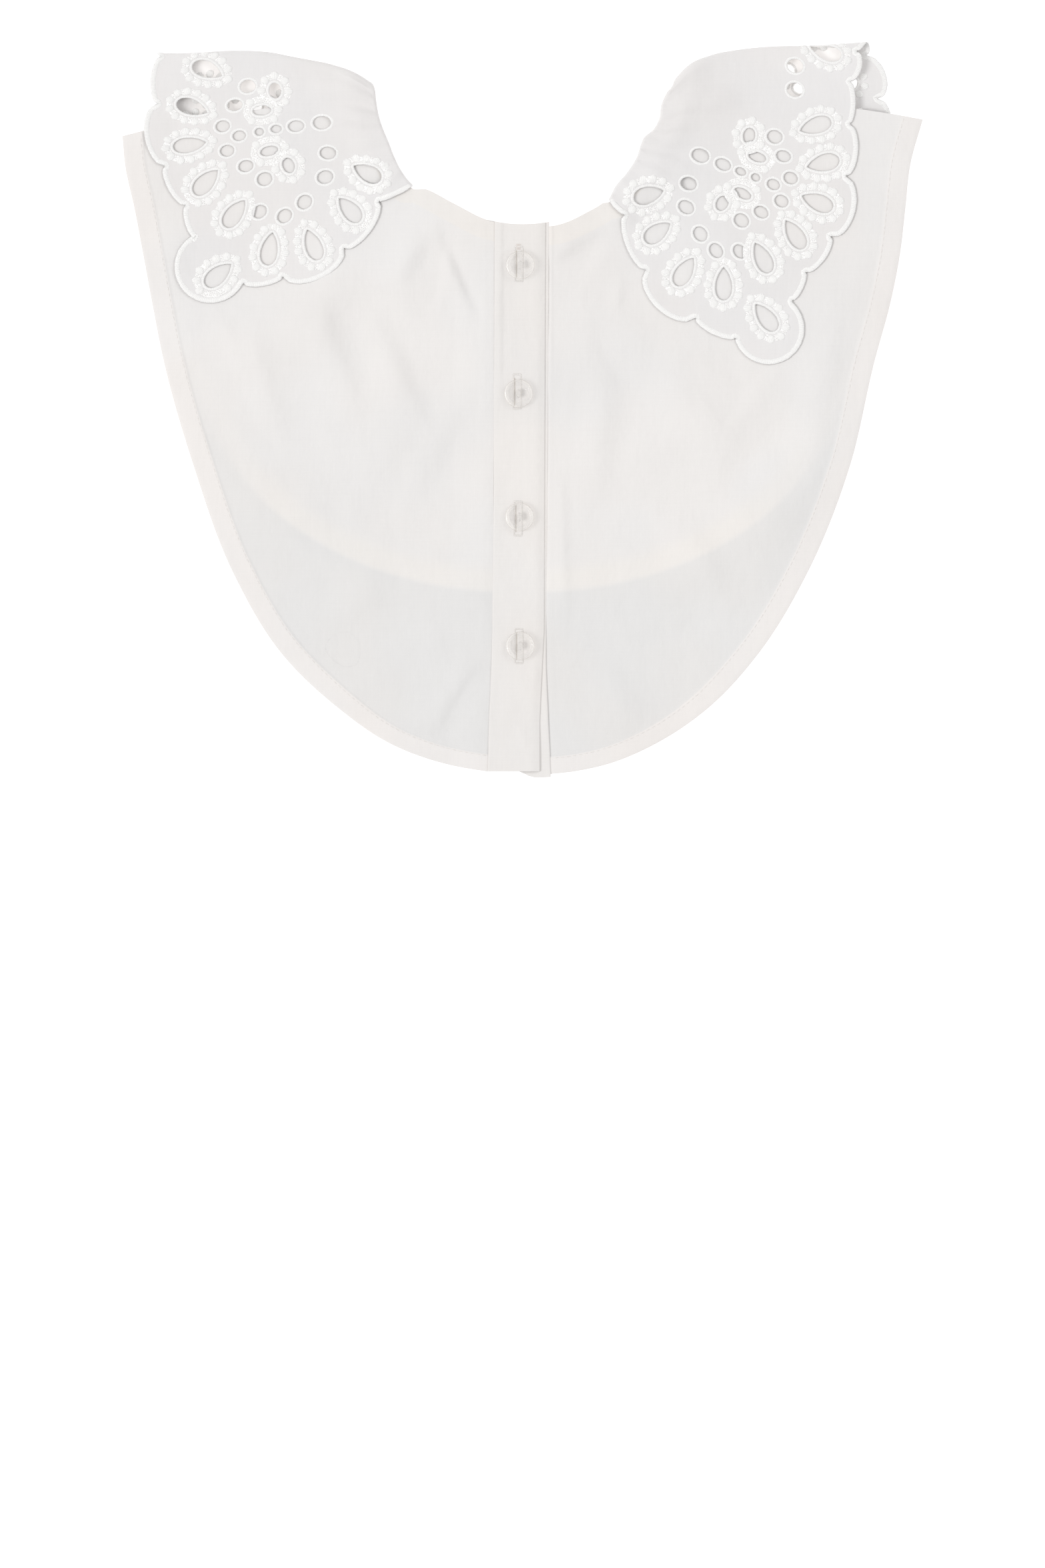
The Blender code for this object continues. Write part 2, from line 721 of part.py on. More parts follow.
def make_band(material, collection):
    """Buttonhole band of the right front, with the sewn ridge along its seam."""
    edges = [
        lambda y: strip_edge("band_right", y),
        lambda y: strip_edge("band_right", y) + RIDGE_WIDTH,
        lambda y: strip_edge("band_right", y) + RIDGE_WIDTH + HEM_STEP,
        lambda y: strip_edge("band_left", y),
    ]
    rows = strip_rows(edges, [BAND_FOOT_Y] * len(edges), lambda plan: front_top(plan) + GAP)
    points = np.vstack(rows)
    upper = fade(-points[:, 1], -RIDGE_FOOT_Y, RIDGE_FADE - RIDGE_FOOT_Y)
    on_ridge = np.repeat([1.0, 1.0, 0.0, 0.0], len(rows[0]))
    return loft("buttonhole_band", rows, material, collection, upper * on_ridge)


def make_stand(material, collection):
    def across(share):
        return lambda y: strip_edge("stand_right", y) * (1 - share) + strip_edge("stand_left", y) * share

    edges = [across(share) for share in column(STAND_FOOT, 0)]
    rows = strip_rows(edges, column(STAND_FOOT, 1), front_under)
    return loft("button_stand", rows, material, collection)


# Collar

def fold_bearing(radius, side):
    """Bearing of the fold at a radius, in plan, before the round of the bend."""
    lift = smooth(radius, column(FOLD_LIFT, 0), column(FOLD_LIFT, 1 if side < 0 else 2))
    return 90 + lift


def collar_heights(plan):
    """Middle heights of the collar's back layer and front layer."""
    back = np.full(len(plan), WALL / 2)
    front = front_top(plan) + GAP + WALL / 2
    return back, front


def gathers(bearing, radius):
    """Uneven small waves at the neck, always raised, fading outwards."""
    turn = np.radians(bearing)
    phase = GATHER_COUNT * 360 / (COLLAR_ENDS[1] - COLLAR_ENDS[0]) * turn
    for size, waves, shift in GATHER_UNEVEN:
        phase = phase + size * np.sin(waves * turn + shift)
    wave = 0.5 + 0.5 * np.sin(phase)
    strength = 0.75 + 0.25 * np.sin(3 * turn + 1)
    return GATHER_HEIGHT * wave * strength * fade(radius, *GATHER_RADII)


def folded(radius, bearing):
    """Plan bearing of unfolded points, how far each is round the bend, and the bend's half height."""
    side = np.where(bearing < 0, -1, 1)
    fold = np.where(side < 0, FOLD_BEARING[-1], FOLD_BEARING[1])
    past = np.abs(bearing) - fold
    t = np.clip(past / FOLD_TURN, 0, 1)
    first = np.where(side < 0, fold_bearing(radius, -1), fold_bearing(radius, 1))
    low, high = collar_heights(to_plan(radius, side * 90))
    bend = (high - low) / 2
    crease = first - np.degrees((bend + WALL / 2) / radius)

    arc = np.radians(1) * radius
    near_back = fade(np.maximum(-past, 0) * arc, 0, FOLD_REACH)
    near_front = fade(np.maximum(past - FOLD_TURN, 0) * arc, 0, FOLD_REACH)
    on_back = fold + past + (crease - fold) * near_back
    on_bend = crease + np.degrees(bend / radius) * np.sin(math.pi * t)
    on_front = crease - (past - FOLD_TURN) + (fold - crease) * (1 - near_front)
    turned = np.where(past <= 0, on_back, np.where(t < 1, on_bend, on_front))
    return side * turned, t, bend


def rim_radius(radius, bearing):
    """Neck edge under the collar in plan, for unfolded points at about this radius."""
    plan_bearing, t, _ = folded(radius, bearing)
    back = neck_radius(plan_bearing, "back")
    return back + (neck_radius(plan_bearing, "front") - back) * t


def lay_collar(reach, bearing):
    """Place points of the unfolded cut: back under the bib, over the fold, front on top."""
    start = rim_radius(reach, bearing) + ROLL_START
    rolled = np.clip((start - reach) / ROLL_RADIUS, 0, ROLL_TURN)
    radius = np.where(rolled > 0, start - ROLL_RADIUS * np.sin(rolled), reach)
    drop = ROLL_RADIUS * (1 - np.cos(rolled))
    plan_bearing, t, bend = folded(radius, bearing)
    inward = np.degrees(drop * np.sin(math.pi * t) / radius)
    plan = to_plan(radius, plan_bearing - np.sign(bearing) * inward)

    low, high = collar_heights(plan)
    top = np.where(t >= 1, high, low + 2 * bend)
    level = low + (top - low) * (1 - np.cos(math.pi * t)) / 2
    height = level + drop * np.cos(math.pi * t) + gathers(bearing, radius)
    height += np.where(t >= 1, soft_folds(plan, COLLAR_FOLDS), 0)
    return lift_plan(plan, height)


def motif_reach(bearing):
    return smooth(bearing, column(MOTIFS, 1), column(MOTIFS, 2))


def dip_radius(bearing):
    """Radius of the dips between scallops, smallest halfway between two motifs."""
    axes = np.array(column(MOTIFS, 1))
    away = np.abs(np.asarray(bearing)[..., None] - axes).min(axis=-1)
    return smooth(away, column(DIP_RADII, 0), column(DIP_RADII, 1)) * motif_reach(bearing)


def scallop(start, end):
    """Points of one round scallop between two dips, without its last point."""
    t = np.linspace(0, 1, SCALLOP_STEPS + 1)[:-1]
    bearing = start[0] + (end[0] - start[0]) * t
    radius = start[1] + (end[1] - start[1]) * t + end[2] * np.sqrt(1 - (2 * t - 1) ** 2)
    return np.column_stack([radius, bearing])


def small_dips(start, end):
    """Dips of the small scallops after one bearing, up to another."""
    marks = np.linspace(start, end, round((end - start) / SCALLOP_SMALL) + 1)[1:]
    return [(mark, float(dip_radius(mark)), BULGE_SMALL) for mark in marks]


def scallop_dips():
    """Dips along the outer edge, right to left: bearing, radius, bulge of the scallop before."""
    right, left = END_SCALLOPS[-1][::-1], END_SCALLOPS[1]
    _, first, first_reach = MOTIFS[0]
    _, last, last_reach = MOTIFS[-1]
    rows = [(first - row[0], row[1] * first_reach, row[2]) for row in right]
    for _, axis, _ in MOTIFS[1:-1]:
        rows += small_dips(rows[-1][0], axis - SCALLOP_MAIN - SCALLOP_SIDE)
        for turn, bulge in (
            (-SCALLOP_MAIN, BULGE_SIDE),
            (SCALLOP_MAIN, BULGE_MAIN),
            (SCALLOP_MAIN + SCALLOP_SIDE, BULGE_SIDE),
        ):
            rows.append((axis + turn, float(dip_radius(axis + turn)), bulge))
    rows += small_dips(rows[-1][0], last + left[0][0])[:-1]
    bulges = [BULGE_SMALL] + column(left, 2)
    rows += [(last + row[0], row[1] * last_reach, bulge) for row, bulge in zip(left, bulges)]
    return rows


def flat(radius, bearing):
    """Unfolded place of a point, as plane coordinates about the collar's centre."""
    angle = np.radians(bearing)
    return np.column_stack([radius * np.sin(angle), -radius * np.cos(angle)])


def corner_path(side):
    """Tip lobe and scalloped front edge of one end, from the outer edge in to the neck."""
    axis, reach = MOTIFS[0][1:] if side < 0 else MOTIFS[-1][1:]

    def place(radius, turn):
        return flat(np.array([radius * reach]), np.array([axis + side * turn]))[0]

    centre = place(*TIP_LOBES[side][:2])
    start = place(END_SCALLOPS[side][-1][1], END_SCALLOPS[side][-1][0])
    dips = [place(row[0], row[1]) for row in FRONT_DIPS[side]]
    end_bearing = COLLAR_ENDS[0] if side < 0 else COLLAR_ENDS[1]
    neck = flat(np.array([end_neck_radius(side)]), np.array([end_bearing]))[0]
    from_angle = math.atan2(*(start - centre)[::-1])
    to_angle = math.atan2(*(dips[0] - centre)[::-1])
    if side > 0 and to_angle < from_angle:
        to_angle += 2 * math.pi
    if side < 0 and to_angle > from_angle:
        to_angle -= 2 * math.pi
    angles = np.linspace(from_angle, to_angle, TIP_STEPS)
    radii = np.full(TIP_STEPS, TIP_LOBES[side][2])
    radii[0] = np.hypot(*(start - centre))
    radii[-1] = np.hypot(*(dips[0] - centre))
    lobe = centre + radii[:, None] * np.column_stack([np.cos(angles), np.sin(angles)])
    path = [lobe[1:-1]]
    stops = dips + [neck]
    for index, row in enumerate(FRONT_DIPS[side]):
        path.append(bulged(stops[index], stops[index + 1], side * row[2]))
    return np.vstack(path)


def bulged(start, end, bulge, count=5):
    """Round scallop between two points, to the outside of the front edge."""
    t = np.linspace(0, 1, count + 1)[:-1]
    run = end - start
    normal = np.array([-run[1], run[0]]) / np.hypot(*run)
    return start + run * t[:, None] - normal * bulge * np.sqrt(1 - (2 * t[:, None] - 1) ** 2)


def end_neck_radius(side):
    """Unfolded radius of the neck edge at one end, with the cloth that rolls over it."""
    bearing = COLLAR_ENDS[0] if side < 0 else COLLAR_ENDS[1]
    return float(unfolded_neck(np.array([bearing]))[0])


def unfolded_neck(bearing, out=0.0):
    """Radius on the unfolded cut of the rolled neck edge, or of a line out from it."""
    radius = np.full(len(bearing), NECK_EDGE[0][1])
    return rim_radius(radius, bearing) + ROLL_START - ROLL_RADIUS * ROLL_TURN + out


def neck_bearings(thin=1):
    """Bearings along the gathered neck: even steps, and closer ones round each fold."""
    even = np.linspace(COLLAR_ENDS[0], COLLAR_ENDS[1], GATHER_COUNT * GATHER_STEPS)[::thin]
    for side in (-1, 1):
        bend = side * (FOLD_BEARING[side] + FOLD_TURN * FOLD_STEPS)
        clear = np.abs(even - bend.mean()) > FOLD_TURN / 2 + FOLD_CLEAR
        even = np.concatenate([even[clear], bend])
    return np.sort(even)


def collar_outline():
    dips = scallop_dips()
    outer = np.vstack([scallop(*pair) for pair in zip(dips, dips[1:])] + [[dips[-1][1::-1]]])
    outer = flat(outer[:, 0], outer[:, 1])
    bearing = neck_bearings()[::-1]
    neck = flat(unfolded_neck(bearing), bearing)
    left_end = corner_path(1)
    right_end = corner_path(-1)[::-1]
    return np.vstack([outer, left_end, neck, right_end[:-1]])


def eyelet(radius, bearing, width, length, tilt, kind):
    """Outline of one hole: round ones are ovals, drops are pointed at the neck end."""
    count = DROP_SIDES if kind == "drop" else ROUND_SIDES
    turn = np.linspace(0, 2 * math.pi, count, endpoint=False)
    along = -np.cos(turn) * length / 2
    across = np.sin(turn) * width / 2
    if kind == "drop":
        across = across * np.sin(turn / 2) ** DROP_POINT * DROP_FULLNESS
    centre = flat(np.array([radius]), np.array([bearing]))[0]
    angle = math.radians(bearing + tilt)
    outward = np.array([math.sin(angle), -math.cos(angle)])
    sideways = np.array([-outward[1], outward[0]])
    return centre + along[:, None] * outward + across[:, None] * sideways


def collar_eyelets():
    holes = []
    for index, (_, axis, reach) in enumerate(MOTIFS):
        for kind, radius, turn, width, length, tilt in FAN_EYELETS:
            for side in (-1, 1) if turn else (1,):
                moved = FOLD_DROP_MOVE if (index, side * turn) == FOLD_DROP else 0
                bearing = axis + side * turn + moved
                holes.append(eyelet(radius * reach, bearing, width, length, side * tilt, kind))
        if index + 1 < len(MOTIFS):
            after = MOTIFS[index + 1][1]
            spare = round((after - axis - 2 * (SCALLOP_MAIN + SCALLOP_SIDE)) / SCALLOP_SMALL) - 1
            middle = (axis + after) / 2
            kind, radius, width, length = BETWEEN_EYELET
            for place in range(spare):
                turn = middle + (place - (spare - 1) / 2) * BETWEEN_SPREAD
                radius_here = radius * float(motif_reach(np.array([turn]))[0])
                holes.append(eyelet(radius_here, turn, width, length, 0, kind))
    for side, (_, axis, reach) in ((-1, MOTIFS[0]), (1, MOTIFS[-1])):
        for kind, radius, turn, width, length, tilt in EDGE_EYELETS:
            holes.append(eyelet(radius * reach, axis + side * turn, width, length, side * tilt, kind))
    return holes


def collar_guides():
    """Rings for the gathers at the neck and lines along both folds."""
    lines = []
    roll = ROLL_RADIUS * ROLL_TURN
    over_facing = EDGE_CLEARANCE + FACING_WIDTH + 2 * GAP
    past_facing = over_facing + FACING_SLOPE
    ends = GATHER_RADII[1] - NECK_EDGE[0][1]
    for out, thin in ((roll / 2, 1), (roll, 1), (over_facing, 1), (past_facing, 2), (ends, 3)):
        line = neck_bearings(thin)
        lines.append(flat(unfolded_neck(line, out), line))
    radius = np.linspace(GATHER_RADII[1] + 4, COLLAR_REST_RADII[0] - 4, 14)
    for side in (-1, 1):
        for step in FOLD_STEPS:
            turn = side * (FOLD_BEARING[side] + FOLD_TURN * step)
            lines.append(flat(radius, np.full(len(radius), turn)))
    return lines


def make_collar(material, collection):
    outline = collar_outline()
    holes = collar_eyelets()
    guides = collar_guides()
    bearing = np.linspace(*COLLAR_ENDS, 48)
    loose = np.vstack([flat(np.full(len(bearing), radius), bearing) for radius in COLLAR_RINGS])
    plan, faces = triangulate(outline, holes, guides, loose, 2.5)
    reach = np.hypot(plan[:, 0], plan[:, 1])
    turn = np.degrees(np.arctan2(plan[:, 0], -plan[:, 1]))
    return cloth_object("collar", lay_collar(reach, turn), faces, material, collection, 0.0)


# Buttons

def make_button(index, material, collection, cutters):
    """Turned shirt button with a raised rim, a dished middle and two holes."""
    x, y = BUTTON_PLACES[index]
    radius = BUTTON_DIAMETER / 2
    below = np.array([[x, y + offset] for offset in np.linspace(-radius, radius, 9)])
    seat = float(front_top(below).max()) + WALL + 2 * GAP
    name = "button_%d" % (index + 1)
    mesh = bpy.data.meshes.new(name)
    points = [(out * radius * MM, 0.0, up * BUTTON_THICK * MM) for out, up in BUTTON_PROFILE]
    mesh.from_pydata(points, [(i, i + 1) for i in range(len(points) - 1)], [])
    piece = bpy.data.objects.new(name, mesh)
    collection.objects.link(piece)
    mesh.materials.append(material)
    piece.location = (x * MM, y * MM, seat * MM)
    turned = piece.modifiers.new("turned", "SCREW")
    turned.steps = BUTTON_STEPS
    turned.render_steps = BUTTON_STEPS
    turned.use_merge_vertices = True
    turned.merge_threshold = 0.00001
    turned.use_normal_calculate = True
    drilled = piece.modifiers.new("holes", "BOOLEAN")
    drilled.operation = "DIFFERENCE"
    drilled.object = hole_cutter(name + "_holes", piece.location, cutters)
    return piece


def hole_cutter(name, location, cutters):
    work = bmesh.new()
    for way in (-1, 1):
        made = bmesh.ops.create_cone(
            work, cap_ends=True, segments=8, radius1=BUTTON_HOLE / 2 * MM,
            radius2=BUTTON_HOLE / 2 * MM, depth=4 * BUTTON_THICK * MM)
        bmesh.ops.translate(work, verts=made["verts"], vec=(0, way * BUTTON_HOLE_OFFSET * MM, 0))
    mesh = bpy.data.meshes.new(name)
    work.to_mesh(mesh)
    work.free()
    cutter = bpy.data.objects.new(name, mesh)
    cutter.location = location
    cutter.hide_render = True
    cutter.display_type = "WIRE"
    cutters.objects.link(cutter)
    return cutter


# Materials and the whole piece

def make_material(name, color, roughness):
    material = bpy.data.materials.new(name)
    material.use_nodes = True
    shader = material.node_tree.nodes["Principled BSDF"]
    shader.inputs["Base Color"].default_value = color
    shader.inputs["Roughness"].default_value = roughness
    shader.inputs["Metallic"].default_value = 0.0
    return material


def clear_scene():
    for item in list(bpy.data.objects):
        bpy.data.objects.remove(item, do_unlink=True)


def make_collection(name):
    collection = bpy.data.collections.new(name)
    bpy.context.scene.collection.children.link(collection)
    return collection


def main():
    clear_scene()
    parts = make_collection("detachable_collar")
    cutters = make_collection("cutters")
    cotton = make_material("cotton_voile", COTTON, 0.85)
    collar_cotton = make_material("eyelet_cotton", COTTON, 0.85)
    facing_cotton = make_material("facing_cotton", FACING_COTTON, 0.85)
    plastic = make_material("clear_plastic", CLEAR_PLASTIC, 0.15)
    make_back(cotton, parts)
    make_front(-1, cotton, parts)
    make_front(1, cotton, parts)
    make_facing(-1, facing_cotton, parts)
    make_facing(1, facing_cotton, parts)
    make_band(cotton, parts)
    make_stand(cotton, parts)
    make_collar(collar_cotton, parts)
    for index in range(len(BUTTON_PLACES)):
        make_button(index, plastic, parts, cutters)


main()
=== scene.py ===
import math

import bpy
import numpy as np
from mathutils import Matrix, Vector
from mathutils.geometry import delaunay_2d_cdt


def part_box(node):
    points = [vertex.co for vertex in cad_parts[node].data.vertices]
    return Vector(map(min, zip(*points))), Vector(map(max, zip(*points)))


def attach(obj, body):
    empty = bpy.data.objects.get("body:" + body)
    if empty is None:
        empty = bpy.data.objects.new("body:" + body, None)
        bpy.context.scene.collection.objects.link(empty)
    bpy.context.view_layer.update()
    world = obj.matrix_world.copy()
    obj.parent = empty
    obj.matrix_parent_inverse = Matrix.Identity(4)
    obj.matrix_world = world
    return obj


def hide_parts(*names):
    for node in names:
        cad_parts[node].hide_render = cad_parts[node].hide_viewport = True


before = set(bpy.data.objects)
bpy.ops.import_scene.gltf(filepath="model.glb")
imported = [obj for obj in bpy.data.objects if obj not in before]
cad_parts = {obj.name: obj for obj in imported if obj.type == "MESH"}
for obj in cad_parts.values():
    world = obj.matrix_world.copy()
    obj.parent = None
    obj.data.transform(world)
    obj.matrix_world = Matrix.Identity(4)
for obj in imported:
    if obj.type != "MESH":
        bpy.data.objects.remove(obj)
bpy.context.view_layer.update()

# Lengths are in millimetres and angles in degrees until a mesh is made.
# Bearings turn about the collar's centre: 0 down the body, positive to +X.
mm = 0.001

# Sizes that several pieces share: outlines, layers and heights
bib = {
    "centreY": 129.2,
    "wall": 1.0,
    "gap": 0.3,
    "hemWidth": 8.0,
    "hemExtra": 0.4,
    "hemFall": (0.5, 12.0),
    # Heights between which the hem narrows towards the bottom
    "narrowHem": (-136, -104),
    "clearance": 2.0,
    "coverStart": (-43, 34),
    "coverBlend": 3,
    # Bearing round the neck edge, its radius on the back and on the front
    "neck": [
        (-90, 59.0, 58.2), (-76, 61.4, 58.0), (-66, 62.0, 57.6), (-60, 62.3, 58.2), (-54, 62.5, 58.8),
        (-47, 62.6, 58.6), (-41, 62.4, 56.3), (-30, 61.6, 54.9), (-11, 59.0, 56.2), (0, 58.7, 55.9),
        (12, 59.4, 57.8), (26, 60.6, 57.2), (37, 60.0, 56.6), (42, 59.4, 54.5), (50, 59.3, 53.9),
        (58, 59.3, 53.3), (63, 59.5, 52.3), (67, 59.8, 52.4), (71, 60.2, 54.6), (76, 60.6, 55.6),
        (82, 60.7, 55.4), (86, 60.8, 56.7), (90, 60.8, 58.8),
    ],
    # Height of each row of the front's outline, its reach on the right and on the left half
    "frontHem": [
        (97.0, 158.9, 155.0), (80.0, 155.2, 153.1), (62.0, 151.8, 151.0), (42.0, 148.1, 147.1),
        (19.3, 143.6, 140.9), (-23.3, 131.5, 130.9), (-66.0, 115.7, 113.9),
        (-98.0, 96.5, 94.5), (-119.3, 74.5, 75.0), (-134.0, 53.2, 53.6), (-142.5, 29.8, 33.5),
        (-145.2, 14.5, 21.0), (-146.9, -30.0, 0.0),
    ],
    "backHem": [
        (97.0, 157.9, 154.1), (80.0, 154.3, 152.2), (62.0, 150.9, 150.1), (42.0, 147.0, 146.1),
        (20.7, 140.0, 139.8), (-0.1, 129.5, 129.5), (-16.7, 119.0, 119.0), (-38.0, 102.0, 102.0),
        (-54.0, 80.0, 80.0), (-64.7, 56.0, 56.0), (-71.0, 30.0, 30.0), (-73.2, 0.0, 0.0),
    ],
    "corner": {-1: (-160.0, 108.7), 1: (160.0, 115.3)},
    "shoulderBearing": 84.0,
    "shoulderRise": 3.0,
    # Height, then the placket's edges: band right and left, stand right and left
    "placket": [
        (-146.0, -13.9, 6.9, -14.2, 11.3), (-125.0, -13.4, 6.9, -14.2, 10.3),
        (-103.0, -12.4, 7.9, -14.2, 9.4), (-88.0, -12.1, 8.7, -14.2, 9.4),
        (-50.0, -11.7, 8.8, -14.2, 9.9), (74.0, -11.1, 9.2, -14.2, 10.6),
    ],
    "bandFoot": -145.2,
    "bandRise": (4.0, 16.0),
    "standFoot": [(0.0, -144.6), (0.5, -145.2), (0.68, -147.3), (1.0, -147.5)],
    "facingWidth": 7.5,
    "facingSlope": 7.0,
    "gatherHeight": 0.7,
    "gatherRadii": (64.0, 84.0),
    "restRadii": (153.5, 174.0),
    "backDrop": (5.0, 26.0),
    "farOut": 400.0,
    "lineSteps": 160,
    "mapReach": (176.0, 166.0),
    "coverEdge": (-50, 36),
    "openRadii": (149.5, 159.5),
    "openBlend": 6.0,
    # Uneven swell of the cloth: share of its height, then two crossing sines with their
    # lengths across and up and their shifts
    "swellWaves": [
        (1.0, (9.0, 31.0, 0.6), (-37.0, 13.0, 0.0)), (0.6, (5.3, -7.1, 1.9), (23.0, 17.0, 0.0)),
    ],
    "placketTop": 74.0,
    # How far a hem's outline keeps from its foot beside the placket
    "footMargin": 0.2,
    # Beyond every hem, for cloth that has none
    "far": 30.0,
    # Pairs of a point and an edge worked on at once
    "slice": 2000000,
}


# Cubic curve through the knots, level past both ends.
def smoothAt(at, knots, values):
    at, knots, values = (np.asarray(item, dtype=float) for item in (at, knots, values))
    slopes = np.gradient(values, knots)
    cell = np.clip(np.searchsorted(knots, at) - 1, 0, len(knots) - 2)
    width = knots[cell + 1] - knots[cell]
    t = np.clip((at - knots[cell]) / width, 0, 1)
    start = (2 * t**3 - 3 * t**2 + 1) * values[cell] + (t**3 - 2 * t**2 + t) * width * slopes[cell]
    return start + (3 * t**2 - 2 * t**3) * values[cell + 1] + (t**3 - t**2) * width * slopes[cell + 1]


# One column of a table.
def column(rows, index):
    return [row[index] for row in rows]


# 1 up to start, 0 from end on, straight between them.
def fade(at, start, end):
    return np.clip((end - np.asarray(at)) / (end - start), 0, 1)


# The same with a soft start and end: 3t^2 - 2t^3 of the straight fall.
def softFade(at, start, end):
    t = fade(at, start, end)
    return t * t * (3 - 2 * t)


# Points evenly spaced along a path by its length.
def evenly(path, count):
    path = np.asarray(path, dtype=float)
    along = np.concatenate([[0], np.cumsum(np.linalg.norm(np.diff(path, axis=0), axis=1))])
    at = np.linspace(0, along[-1], count)
    return np.column_stack([np.interp(at, along, path[:, axis]) for axis in range(path.shape[1])])


# Smooth curve through a few points.
def curveThrough(points, count):
    points = np.array(points, dtype=float)
    along = np.concatenate([[0], np.cumsum(np.hypot(*np.diff(points, axis=0).T))])
    at = np.linspace(0, along[-1], count)
    return np.column_stack([smoothAt(at, along, points[:, 0]), smoothAt(at, along, points[:, 1])])


# Plane place of a radius and bearing about the collar's centre.
def toPlan(radius, bearing):
    angle = np.radians(bearing)
    return np.stack([radius * np.sin(angle), bib["centreY"] - radius * np.cos(angle)], axis=-1)


# Radius and bearing of a plane place.
def toPolar(plan):
    dx, dy = plan[..., 0], bib["centreY"] - plan[..., 1]
    return np.hypot(dx, dy), np.degrees(np.arctan2(dx, dy))


# Unit direction of a path at each point.
def heading(path):
    direction = np.gradient(path, axis=0)
    return direction / np.linalg.norm(direction, axis=1)[:, None]


# Even-odd count of the outline's edges to one side of each point, in slices of the points.
def inside(points, outline):
    ax, ay = outline.T
    bx, by = np.roll(outline, -1, axis=0).T
    rise = np.where(by == ay, 1.0, by - ay)
    found = []
    for part in np.array_split(points, max(1, len(points) * len(outline) // (2 * bib["slice"]))):
        x, y = part[:, :1], part[:, 1:]
        crosses = (ay > y) != (by > y)
        found.append((crosses & (x < (bx - ax) * (y - ay) / rise + ax)).sum(axis=1) % 2 == 1)
    return np.concatenate(found)


# Shortest distance from points to a path of straight pieces.
def distanceTo(points, path):
    start, run = path[:-1], np.diff(path, axis=0)
    squares = np.maximum((run * run).sum(axis=1), 1e-9)
    shape = points.shape[:-1]
    found = []
    flatPoints = points.reshape(-1, 2)
    for part in np.array_split(flatPoints, max(1, len(flatPoints) * len(path) // bib["slice"])):
        offset = part[:, None, :] - start
        t = np.clip((offset * run).sum(axis=2) / squares, 0, 1)
        found.append(np.sqrt(((offset - t[:, :, None] * run) ** 2).sum(axis=2).min(axis=1)))
    return np.concatenate(found).reshape(shape)


# Radius of the neck edge at a bearing, on the Back or the Front.
def neckRadius(bearing, layer):
    return smoothAt(np.clip(bearing, -90, 90), column(bib["neck"], 0),
                    column(bib["neck"], 1 if layer == "Back" else 2))


# Neck edge of the front, drawn back where the collar covers it.
def frontEdge(bearing):
    right, left = bib["coverStart"]
    covered = np.maximum(1 - fade(bearing, left, left + bib["coverBlend"]),
                         fade(bearing, right - bib["coverBlend"], right))
    return neckRadius(bearing, "Front") + bib["clearance"] * covered


# Bearing where the front's neck edge passes over a place across.
def bearingAt(x):
    bearing = 0.0
    for _ in range(20):
        bearing = math.degrees(math.asin(x / float(frontEdge(np.array([bearing]))[0])))
    return bearing


# Straight from the neck point to the shoulder corner, plus a rise of 4 h t (1 - t).
def shoulderPath(side, layer, count=80):
    start = toPlan(neckRadius(side * bib["shoulderBearing"], layer) + bib["clearance"],
                   side * bib["shoulderBearing"])
    t = np.linspace(0, 1, count)[:, None]
    path = start + (np.array(bib["corner"][side]) - start) * t
    path[:, 1:] += 4 * bib["shoulderRise"] * t * (1 - t)
    return path


# Down the side and along the bottom of one front half, to a place across.
def frontHem(side, endX, count=500):
    reach = 1 if side < 0 else 2
    knots = [(side * row[reach], row[0]) for row in bib["frontHem"]]
    path = curveThrough([bib["corner"][side]] + knots, count)
    foot = np.interp(side * endX, side * path[::-1, 0], path[::-1, 1])
    beyond = side * path[:, 0] > side * endX + bib["footMargin"]
    return np.vstack([path[beyond], [[endX, foot]]])


# Round the back bib from the right corner to the left one.
def backHem(count=600):
    right = [bib["corner"][-1]] + [(-row[1], row[0]) for row in bib["backHem"]]
    left = [(row[2], row[0]) for row in reversed(bib["backHem"][:-1])] + [bib["corner"][1]]
    return curveThrough(right + left, count)


# Across place of a placket edge at a height.
def stripEdge(name, y):
    index = 1 + ("bandRight", "bandLeft", "standRight", "standLeft").index(name)
    return np.interp(y, column(bib["placket"], 0), column(bib["placket"], index))


backLine = backHem(bib["lineSteps"])
backCoverLine = np.vstack([backLine, [[bib["farOut"]] * 2, [-bib["farOut"], bib["farOut"]]]])
frontLines = {side: frontHem(side, 0.0, bib["lineSteps"]) for side in (-1, 1)}
print("outlines worked out")


# Signed distance to the back's hem, positive on the back.
def fromBackHem(plan):
    within = inside(plan.reshape(-1, 2), backCoverLine).reshape(plan.shape[:-1])
    return np.where(within, 1, -1) * distanceTo(plan, backLine)


# 1 over the width of a hem, falling to 0 beyond it.
def overHem(away):
    start, end = bib["hemFall"]
    return fade(away, bib["hemWidth"] + start, bib["hemWidth"] + end)


# Underside of the back bib: the wall that lies below it, plus the gathers at the neck.
def backUnder(plan):
    radius, _ = toPolar(plan)
    rest = (bib["wall"] + bib["gap"]) * fade(radius, *bib["restRadii"])
    return rest + bib["gatherHeight"] * fade(radius, *bib["gatherRadii"])


# Underside of the front bib over the back, its hem and the facing.
def frontUnder(plan, signed=None):
    signed = fromBackHem(plan) if signed is None else signed
    cover = fade(-signed, *bib["backDrop"])
    step = bib["hemExtra"] * overHem(np.abs(signed))
    radius, bearing = toPolar(plan)
    facingEnd = bib["facingWidth"] + bib["gap"]
    lift = fade(radius - frontEdge(bearing), facingEnd, facingEnd + bib["facingSlope"])
    over = cover * (backUnder(plan) + bib["wall"] + step + bib["gap"])
    return over + (bib["wall"] + bib["gap"]) * lift


